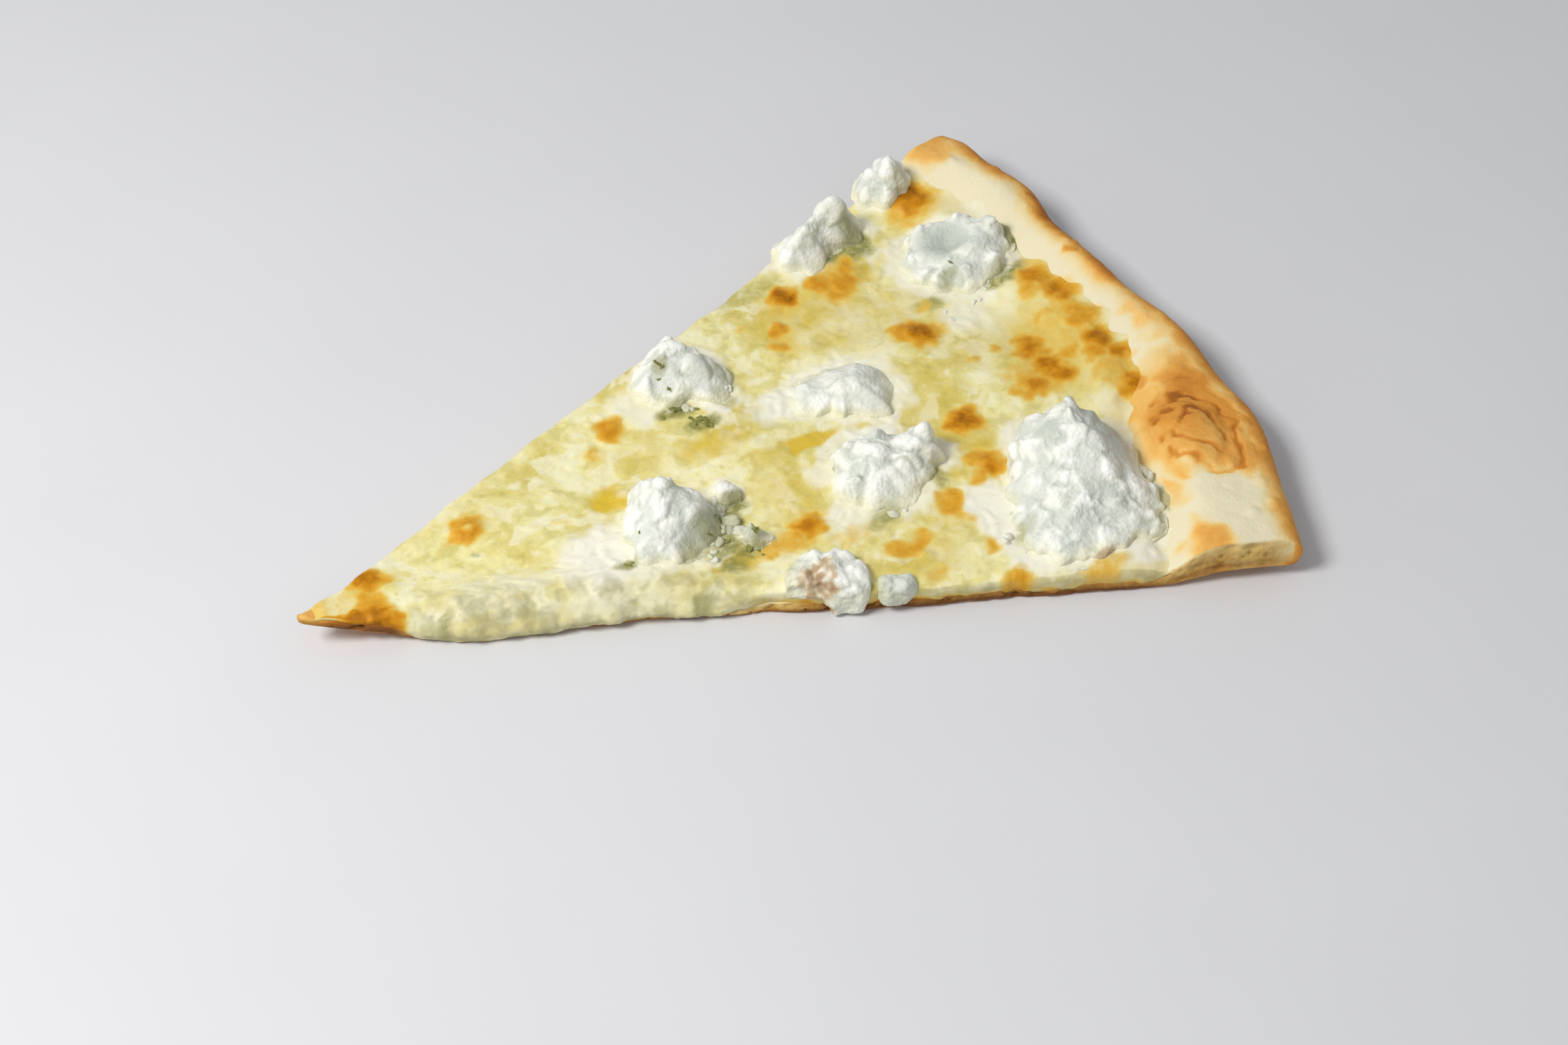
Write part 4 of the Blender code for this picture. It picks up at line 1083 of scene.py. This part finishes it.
def hook_piece(name, start, end, inner, outer, height, drip_from, drip_to, foot, seed, grey):
    """The hook's cross-section carried along the cut, fullest in the middle, then curded."""
    inward, outward_share, level = section.T[:, None, :]
    share = np.linspace(0, 1, HOOK_STATIONS)[:, None]
    along = start + (end - start) * (0.5 - 0.5 * np.cos(share * math.pi))
    fullness = np.sin(share * math.pi) ** 0.6
    drip = np.interp(along, [drip_from - 2.5, drip_from, drip_to, drip_to + 2.5], [0, 1, 1, 0])
    thick = outer * (0.55 + 0.45 * drip) * fullness
    gone = inward * inner * fullness + 0.4 * fullness + outward_share * thick
    gone = gone + curve(FRONT_CUT, along)
    x = along * math.cos(HALF_ANGLE) - gone * math.sin(HALF_ANGLE)
    y = -along * math.sin(HALF_ANGLE) - gone * math.cos(HALF_ANGLE)
    seat = cheese_top(x, y) + 0.1
    bottom = (seat - 2.2) * (1 - drip) + foot * drip
    low = bottom + (seat - bottom) * np.minimum(level, 1)
    z = low + np.maximum(level - 1, 0) * height * fullness
    z = np.where(fullness < 0.05, seat - 0.3, z)
    rings = at(x, y, z)
    ring_out = ring_normals(rings)
    middle = rings.mean(axis=(0, 1))
    ring_out = ring_out * np.sign((ring_out * (rings - middle)).sum())
    size = fullness * smooth(0.6, 1.2, level) + 0.5 * fullness * (outward_share > 0.3)
    size = np.minimum(size, 1)
    broken = np.hypot(grain(rings, 3.6, seed + 12), 0.06) - 0.3
    relief = curd_relief(rings, seed) + 0.8 * grain(rings, 5, seed + 13) + 0.9 * broken
    rings = rings + ring_out * ((relief - 0.3) * size)[..., None]
    rings[..., 2] = np.maximum(rings[..., 2], 0.1)
    speckled = np.clip(0.9 + 0.8 * grain(rings, 1.6, seed + 50), 0.3, 1.3)
    marks = {
        "toast": patches(rings, TOASTED, 2.6) * speckled,
        # Painted shade in the creases between lumps, and grey curd where the row sets it.
        "wet_and_shade": np.maximum(0.5 * smooth(0.2, -0.3, relief), grey),
        "olive_and_shadow": np.broadcast_to(0.35 * smooth(0.35, 0.1, share), relief.shape),
        "foot": np.maximum(0.5 * smooth(1.5, 0.9, level), 0.7 * smooth(0.45, 0.15, share)),
    }
    piece = shell_mesh("curd_" + name.removeprefix("ricotta_"), rings, marks)
    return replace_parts(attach(piece, "root"), name)


ricotta += [hook_piece(*row) for row in HOOKS]

# %% [markdown]
# ## Crumbs of curd and flecks of herb
# A spoon leaves crumbs. They lie beside the dollops, and a few dark green flecks of herb stick
# to the ricotta. Each kind is one joined mesh of many small rounded bodies, so a whole
# handful costs a few thousand faces.

# %% Places of the crumbs
def scatter(rows, seed, smallest):
    """Places drawn round each row's (x, y) by its spread, and sizes up to its largest radius."""
    rng = np.random.default_rng(seed)
    places = [
        np.array([x, y]) + rng.normal(0, 0.5, (many, 2)) * spread
        for x, y, spread, many, _ in rows
    ]
    sizes = [rng.uniform(smallest, 1, many) * largest for *_, many, largest in rows]
    return np.concatenate(places), np.concatenate(sizes)


# Where crumbs lie: x, y, spread, how many, largest radius.
CRUMB_SPOTS = [
    (188, -60.5, 3.6, 4, 2.1), (190.5, -49, 3, 3, 2), (92, -25.5, 3.4, 3, 1.5),
    (98.5, -12.5, 3.6, 7, 1.8), (97.5, -18, 4, 8, 1.8), (182, 23, 5, 3, 1.2), (152, -50, 3.4, 3, 1.4),
    (116, 24, 3, 3, 1.6), (106, 21.5, 3.4, 3, 1.4), (134, -33, 3, 2, 1.3), (190, 26.5, 3, 3, 1.5),
]
crumb_xy, crumb_size = scatter(CRUMB_SPOTS, 8, 0.4)
crumb_x, crumb_y = crumb_xy.T
crumb_at = at(crumb_x, crumb_y, cheese_top(crumb_x, crumb_y) + 0.2)
print("crumbs of curd:", len(crumb_at))


# %% Make the crumbs
def blobs(name, centres, sizes, flatness, seed, marks_of):
    """Many small closed bodies in one mesh: balls squeezed by flatness, tilted, made uneven."""
    rng = np.random.default_rng(seed)
    count, rings, columns = len(centres), 9, 14
    fall = np.linspace(0, math.pi, rings)[:, None]
    turn = np.linspace(0, 2 * math.pi, columns, endpoint=False)[None, :]
    ball = at(np.sin(fall) * np.cos(turn), np.sin(fall) * np.sin(turn), np.cos(fall))
    bounds = ((0.9, 1.7), (0.7, 1.1), (0.7, 1.2))
    stretch = np.stack([rng.uniform(*pair, count) for pair in bounds], axis=1)
    stretch[:, 2] *= flatness
    body = ball[None] * stretch[:, None, None, :] * sizes[:, None, None, None]
    spin = rng.uniform(0, 2 * math.pi, count)
    tilt = rng.uniform(-0.5, 0.5, count)
    cos, sin = np.cos(spin)[:, None, None], np.sin(spin)[:, None, None]
    lean = np.tan(tilt)[:, None, None]
    x = body[..., 0] * cos - body[..., 1] * sin
    y = body[..., 0] * sin + body[..., 1] * cos
    heart = centres[:, None, None, :]
    placed = at(x, y, body[..., 2] + lean * x) + heart
    push = 1 + 0.5 * grain(placed, 1.3, seed + 1)
    placed = heart + (placed - heart) * push[..., None]
    middle = placed[:, 1:-1].reshape(count, -1, 3)
    ends = placed[:, [0, -1]].mean(axis=2)
    points = np.concatenate([middle, ends], axis=1)
    ring_count = (rings - 2) * columns
    quads = loop_faces(rings - 2, columns, 0)
    numbers = np.arange(columns)
    bottom = fan_faces(numbers + ring_count - columns, ring_count + 1)[:, ::-1]
    triangles = np.concatenate([fan_faces(numbers, ring_count), bottom])
    shift = np.arange(count)[:, None, None] * (ring_count + 2)
    quads = (quads + shift).reshape(-1, 4)
    triangles = (triangles + shift).reshape(-1, 3)
    marks = {
        label: np.repeat(np.broadcast_to(value, count), ring_count + 2)
        for label, value in marks_of.items()
    }
    return make_mesh(name, points.reshape(-1, 3), quads, triangles, marks)


crumbs = blobs("curd_crumbs", crumb_at, crumb_size, 0.7, 9, {
    "toast": 0, "foot": 0.4, "wet_and_shade": 0.3, "olive_and_shadow": 0.7 * patches(crumb_at, OLIVE_AND_SHADOW, 1.8),
})
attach(crumbs, "root")

# %% Places of the herb flecks
# Where herb flecks lie: x, y, spread, how many, largest radius.
HERB_SPOTS = [
    (104.7, 31, 1.2, 5, 0.9), (104.5, 22, 3.4, 8, 0.9), (108.5, 15.5, 3, 9, 1),
    (101, -26.5, 3, 7, 0.8), (98.5, -15.5, 3.6, 7, 0.7), (94.5, -20, 3, 5, 0.7),
    (78, -14, 0.8, 2, 0.6), (73, -18.5, 1, 3, 0.7), (206, 36, 1.4, 3, 0.7), (187, 34, 1, 2, 0.6),
]
herb_xy, herb_size = scatter(HERB_SPOTS, 14, 0.45)
print("herb flecks:", len(herb_xy))

# %% [markdown]
# ## Finding the surface under a fleck
# A fleck has to lie on what is really there, a dollop or the cheese. A ray straight down onto
# the finished pieces gives the height, so nothing floats or sinks.

# %% Lay the herb flecks
bpy.context.view_layer.update()
surfaces = [cheese_piece, *ricotta]


def drop(x, y):
    """Height in mm of the highest piece below a plan position."""
    found = []
    for piece in surfaces:
        start = ((x + POINT_AT[0]) * MM, (y + POINT_AT[1]) * MM, 0.1)
        hit, place, _, _ = piece.ray_cast(start, (0.0, 0.0, -1.0))
        if hit:
            found.append(place.z / MM)
    return max(found)


fleck_at = np.array([(x, y, drop(x, y) + 0.04) for x, y in herb_xy])
flecks = blobs("herb_flecks", fleck_at, herb_size, 0.2, 19, {"leaf": 1})
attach(flecks, "root")

# %% [markdown]
# ## Materials
# Every finish is worked out from the place on the piece and from the marks on its points, so
# it stays the same from any side. Colours are given as they look on a screen, from 0 to 255,
# and turned into light values. A fine bump adds what is smaller than the mesh.

# %% Screen colours
def tone(red, green, blue):
    """A screen colour as light values: each channel by the screen's own curve."""
    share = np.array([red, green, blue]) / 255.0
    light = np.where(share <= 0.04045, share / 12.92, ((share + 0.055) / 1.055) ** 2.4)
    return (*light, 1.0)


print("white of the curd as light:", [round(float(part), 2) for part in tone(252, 252, 247)])

# %% A finish as a chain of nodes
# How deep light enters food, in metres.
LIGHT_DEPTH = 0.0012


class Finish:
    """A material under construction: each method adds a node and gives back its output."""

    def __init__(self, name):
        """A new material with its own shader, read in Object coordinates."""
        self.material = bpy.data.materials.new(name)
        self.material.use_nodes = True
        self.tree = self.material.node_tree
        self.shader = self.tree.nodes["Principled BSDF"]
        self.place = self.tree.nodes.new("ShaderNodeTexCoord").outputs["Object"]

    def put(self, socket, value):
        """Links a node's output to a socket, or sets a plain value on it."""
        if isinstance(value, bpy.types.NodeSocket):
            self.tree.links.new(value, socket)
        else:
            socket.default_value = value

    def add(self, kind, inputs, **settings):
        """A new node of the given kind, with its settings and its inputs."""
        node = self.tree.nodes.new("ShaderNode" + kind)
        for setting, value in settings.items():
            setattr(node, setting, value)
        for socket, value in inputs.items():
            self.put(node.inputs[socket], value)
        return node

    def noise(self, size, detail=3.0, roughness=0.55, warp=0.0):
        """Noise with features of the given size in mm."""
        return self.add("TexNoise", {
            "Vector": self.place, "Scale": 1.0 / (size * MM), "Detail": detail,
            "Roughness": roughness, "Distortion": warp,
        }).outputs["Fac"]

    def cells(self, size):
        """Distance to the nearest cell point, with cells of the given size in mm."""
        inputs = {"Vector": self.place, "Scale": 1.0 / (size * MM)}
        return self.add("TexVoronoi", inputs).outputs["Distance"]

    def mark(self, label):
        """The number that is stored on the points under the given name."""
        return self.add("Attribute", {}, attribute_name=label).outputs["Fac"]

    def sum(self, first, second, factor=1.0):
        """first + second * factor."""
        inputs = {0: second, 1: factor, 2: first}
        return self.add("Math", inputs, operation="MULTIPLY_ADD").outputs[0]

    def times(self, first, second):
        """first * second."""
        return self.add("Math", {0: first, 1: second}, operation="MULTIPLY").outputs[0]

    def rise(self, value, start, end, low=0.0, high=1.0):
        """A smooth step of a value between start and end, from low to high."""
        return self.add("MapRange", {
            "Value": value, "From Min": start, "From Max": end, "To Min": low, "To Max": high,
        }, interpolation_type="SMOOTHSTEP").outputs["Result"]

    def ramp(self, value, stops):
        """A colour ramp through (place, colour) stops."""
        node = self.add("ValToRGB", {"Fac": value})
        elements = node.color_ramp.elements
        while len(elements) < len(stops):
            elements.new(0.5)
        for element, (place, colour) in zip(elements, stops):
            element.position = place
            element.color = tone(*colour)
        return node.outputs["Color"]

    def blend(self, share, first, second):
        """first where share is 0, second where it is 1: outputs or screen colours."""
        inputs = {0: share}
        for number, colour in ((6, first), (7, second)):
            inputs[number] = tone(*colour) if isinstance(colour, tuple) else colour
        return self.add("Mix", inputs, data_type="RGBA").outputs[2]

    def bump(self, height, depth, strength=1.0):
        """Fine relief of the given depth in mm."""
        inputs = {"Strength": strength, "Distance": depth * MM, "Height": height}
        self.put(self.shader.inputs["Normal"], self.add("Bump", inputs).outputs["Normal"])

    def shine(self, colour, roughness, subsurface, radius, specular=0.5):
        """Sets the surface: its colour, how rough it is and how deep light enters it."""
        inputs = self.shader.inputs
        self.put(inputs["Base Color"], colour)
        self.put(inputs["Roughness"], roughness)
        self.put(inputs["Specular IOR Level"], specular)
        inputs["Subsurface Weight"].default_value = subsurface
        inputs["Subsurface Radius"].default_value = radius
        inputs["Subsurface Scale"].default_value = LIGHT_DEPTH
        return self.material


# %% [markdown]
# ## Melted cheese
# The base is pale cream that drifts to yellow. Oil deepens it, melted ricotta whitens it, and
# the blisters go from gold through brown to nearly burnt. Fat keeps it glossy, and brown skin
# is drier.

# %% Finish of the cheese
finish = Finish("melted_cheese")
drift = finish.noise(16.0, 3.0)
fine = finish.noise(2.2, 4.0, 0.6, 0.6)
speck = finish.noise(0.8, 2.0)
colour = finish.ramp(finish.sum(finish.times(drift, 0.75), fine, 0.25), [
    (0.34, (246, 239, 198)), (0.47, (239, 230, 168)), (0.58, (227, 213, 132)), (0.72, (208, 188, 92)),
])
colour = finish.blend(finish.rise(fine, 0.60, 0.78, 0.0, 0.35), colour, (192, 178, 84))
island = finish.noise(5.5, 2.0, 0.5, 0.4)
colour = finish.blend(finish.rise(island, 0.50, 0.62, 0.0, 0.70), colour, (246, 241, 206))
colour = finish.blend(finish.rise(island, 0.45, 0.33, 0.0, 0.50), colour, (204, 190, 102))
oil = finish.times(finish.mark("oily"), finish.rise(drift, 0.2, 0.7, 0.5, 1.0))
colour = finish.blend(oil, colour, (214, 184, 44))
colour = finish.blend(finish.times(finish.mark("rimward"), 0.85), colour, (238, 224, 180))
milk = finish.rise(finish.sum(finish.mark("milky"), fine, 0.5), 0.35, 1.1)
colour = finish.blend(milk, colour, (246, 243, 226))
scorched = finish.rise(finish.noise(2.4, 3.0, 0.55), 0.3, 0.7, 0.84, 1.16)
baked = finish.times(finish.mark("brown"), scorched)
scorch = finish.ramp(baked, [
    (0.06, (232, 212, 124)), (0.22, (230, 197, 94)), (0.42, (223, 168, 50)), (0.64, (205, 137, 18)),
    (0.92, (158, 98, 8)),
])
colour = finish.blend(finish.times(finish.mark("golden"), 0.9), colour, (222, 186, 30))
# Olive green: herbs and oil, and painted shadow beside the dollops.
green = finish.times(finish.mark("olive_and_shadow"), finish.rise(fine, 0.30, 0.58, 0.50, 0.92))
colour = finish.blend(green, colour, (138, 136, 66))
# Grey-olive blotches along the front cut: mottled cheese, and painted shade on the cheese that hangs
# over the cut.
mottle_and_shade = finish.times(finish.mark("cut"), finish.rise(finish.noise(4.4, 2.0), 0.40, 0.64, 0.22, 0.85))
colour = finish.blend(mottle_and_shade, colour, (166, 160, 112))
colour = finish.blend(finish.rise(baked, 0.02, 0.34), colour, scorch)
rough = finish.sum(finish.rise(speck, 0.3, 0.7, 0.28, 0.40), finish.mark("brown"), 0.18)
rough = finish.sum(rough, finish.mark("cut"), 0.22)
finish.bump(finish.sum(finish.times(speck, 0.35), fine, 0.8), 0.28, 0.6)
gloss = finish.rise(finish.mark("brown"), 0.0, 0.8, 0.5, 0.15)
cheese_piece.data.materials.append(finish.shine(colour, rough, 0.22, (1.0, 0.7, 0.3), gloss))
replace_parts(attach(cheese_piece, "root"), "cheese")
print("nodes in the finish of the cheese:", len(finish.tree.nodes))

# %% [markdown]
# ## Baked dough
# Flour keeps the bare rim pale, almost white, and heat turns it through straw and orange to
# brown. The cut crumb is cream with darker holes. The underside has the spotted brown of a
# stone floor.

# %% Finish of the bread
finish = Finish("baked_dough")
drift = finish.noise(9.0, 4.0)
fine = finish.noise(1.3, 4.0, 0.65)
heat = finish.sum(finish.sum(finish.mark("bake"), drift, 0.30), fine, 0.16)
heat = finish.sum(heat, -0.23)
dough_colour = finish.ramp(heat, [
    (0.05, (235, 225, 192)), (0.28, (238, 214, 156)), (0.46, (240, 190, 104)), (0.64, (222, 152, 60)),
    (0.82, (188, 114, 34)), (0.98, (140, 80, 24)),
])
crumb_colour = finish.ramp(finish.sum(finish.times(finish.mark("bake"), 0.8), fine, 0.35), [
    (0.10, (238, 220, 160)), (0.33, (216, 184, 108)), (0.56, (178, 130, 58)), (0.82, (120, 76, 28)),
])
colour = finish.blend(finish.mark("crumb"), dough_colour, crumb_colour)
flour = finish.times(finish.mark("under"), finish.rise(finish.noise(5.0, 4.0), 0.50, 0.72, 0.0, 0.55))
colour = finish.blend(flour, colour, (236, 224, 200))
rough = finish.rise(fine, 0.3, 0.7, 0.62, 0.85)
finish.bump(finish.sum(fine, finish.noise(0.45, 3.0), 0.4), 0.30, 0.7)
bread_piece.data.materials.append(finish.shine(colour, rough, 0.08, (1.0, 0.6, 0.3), 0.3))
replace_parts(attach(bread_piece, "root"), "crust")
print("nodes in the finish of the bread:", len(finish.tree.nodes))

# %% [markdown]
# ## Ricotta
# Fresh curd is white with a hint of cream, and light goes some way into it, which softens its
# shadows. The foot of a dollop takes up yellow oil, and what faced the flame is toasted to a
# beige brown.

# %% Finish of the ricotta
finish = Finish("fresh_ricotta")
fine = finish.noise(1.1, 4.0, 0.6)
drift = finish.noise(5.0, 3.0)
colour = finish.ramp(drift, [(0.30, (252, 252, 247)), (0.55, (247, 247, 238)), (0.75, (236, 238, 224))])
# Painted shade in part: the wet mark greys wet curd, and also paints shade into creases and onto the
# large dollop's steep face.
colour = finish.blend(finish.times(finish.mark("wet_and_shade"), 0.80), colour, (182, 191, 180))
colour = finish.blend(finish.times(finish.mark("foot"), 0.5), colour, (228, 220, 160))
# Olive on the curd: herbs, and painted shadow on the dollops' shaded sides.
colour = finish.blend(finish.times(finish.mark("olive_and_shadow"), 0.75), colour, (148, 148, 92))
toast = finish.sum(finish.mark("toast"), finish.times(finish.mark("toast"), fine), 0.6)
toasting = finish.ramp(toast, [(0.15, (230, 218, 188)), (0.55, (200, 174, 134)), (0.95, (156, 116, 76))])
colour = finish.blend(finish.rise(toast, 0.12, 0.65, 0.0, 0.9), colour, toasting)
curd_height = finish.sum(fine, finish.cells(0.9), -0.7)
finish.bump(finish.sum(curd_height, finish.noise(0.35, 2.0), 0.3), 0.28, 0.75)
curd_finish = finish.shine(colour, finish.rise(fine, 0.3, 0.7, 0.48, 0.66), 0.35, (1.0, 0.9, 0.75), 0.4)
for piece in (*ricotta, crumbs):
    piece.data.materials.append(curd_finish)
print("nodes in the finish of the ricotta:", len(finish.tree.nodes))

# %% Finish of the herb flecks
finish = Finish("dried_herb")
leaf = finish.noise(0.7, 3.0)
colour = finish.ramp(leaf, [(0.30, (104, 108, 52)), (0.55, (132, 132, 68)), (0.75, (166, 160, 100))])
finish.bump(leaf, 0.12)
flecks.data.materials.append(finish.shine(colour, 0.6, 0.0, (1.0, 0.6, 0.3), 0.3))
print("nodes in the finish of the herb:", len(finish.tree.nodes))

# %% [markdown]
# ## Floor, light and camera
# A pale floor and one soft light, high on the left and a little to the front as a window would
# be, show every lump. A weak light from all round fills the shadows. The camera looks from the
# front left, at the angle that the picture of the real slice was taken from.

# %% Floor
FLOOR_SIDE = 6.0
bpy.ops.mesh.primitive_plane_add(size=FLOOR_SIDE)
floor = bpy.context.object
floor.name = "floor"
finish = Finish("pale_floor")
cloud = finish.noise(60.0, 2.0)
floor.data.materials.append(finish.shine(
    finish.blend(cloud, (218, 218, 222), (223, 223, 226)), 0.65, 0.0, (1.0, 1.0, 1.0), 0.2,
))
print("side of the floor, m:", FLOOR_SIDE)

# %% Light
ROOM_LIGHT = 0.40
WINDOW_AT = (-0.63, -0.04, 0.77)
WINDOW_SIDE = 0.30
WINDOW_WATTS = 7.6


def aim(thing, place, target):
    """Puts a lamp or a camera at a place and turns it to face the target."""
    bpy.context.scene.collection.objects.link(thing)
    thing.location = place
    thing.rotation_mode = "QUATERNION"
    thing.rotation_quaternion = Vector(np.array(target) - np.array(place)).to_track_quat("-Z", "Y")


world = bpy.data.worlds.new("soft_room")
bpy.context.scene.world = world
world.use_nodes = True
world.node_tree.nodes["Background"].inputs["Color"].default_value = (0.95, 0.98, 1.0, 1.0)
world.node_tree.nodes["Background"].inputs["Strength"].default_value = ROOM_LIGHT
window = bpy.data.lights.new("window", "AREA")
window.shape = "SQUARE"
window.size = WINDOW_SIDE
window.energy = WINDOW_WATTS
window.color = (1.0, 0.985, 0.955)
aim(bpy.data.objects.new("window", window), WINDOW_AT, (0.0, 0.0, 0.0))
print("window light from the slice, m:", round(float(np.linalg.norm(WINDOW_AT)), 2))

# %% Camera
EYE = (-0.194565, -0.38536, 0.43679)
LOOK_AT = (-0.003745, -0.02113, 0.0095)

camera_data = bpy.data.cameras.new("camera")
camera_data.lens = 60.0
camera_data.sensor_width = 36.0
camera_data.clip_start = 0.01
camera = bpy.data.objects.new("camera", camera_data)
aim(camera, EYE, LOOK_AT)
bpy.context.scene.camera = camera
bpy.context.scene.view_settings.view_transform = "Standard"
print("camera from the slice, m:", round(float(np.linalg.norm(np.subtract(EYE, LOOK_AT))), 2))
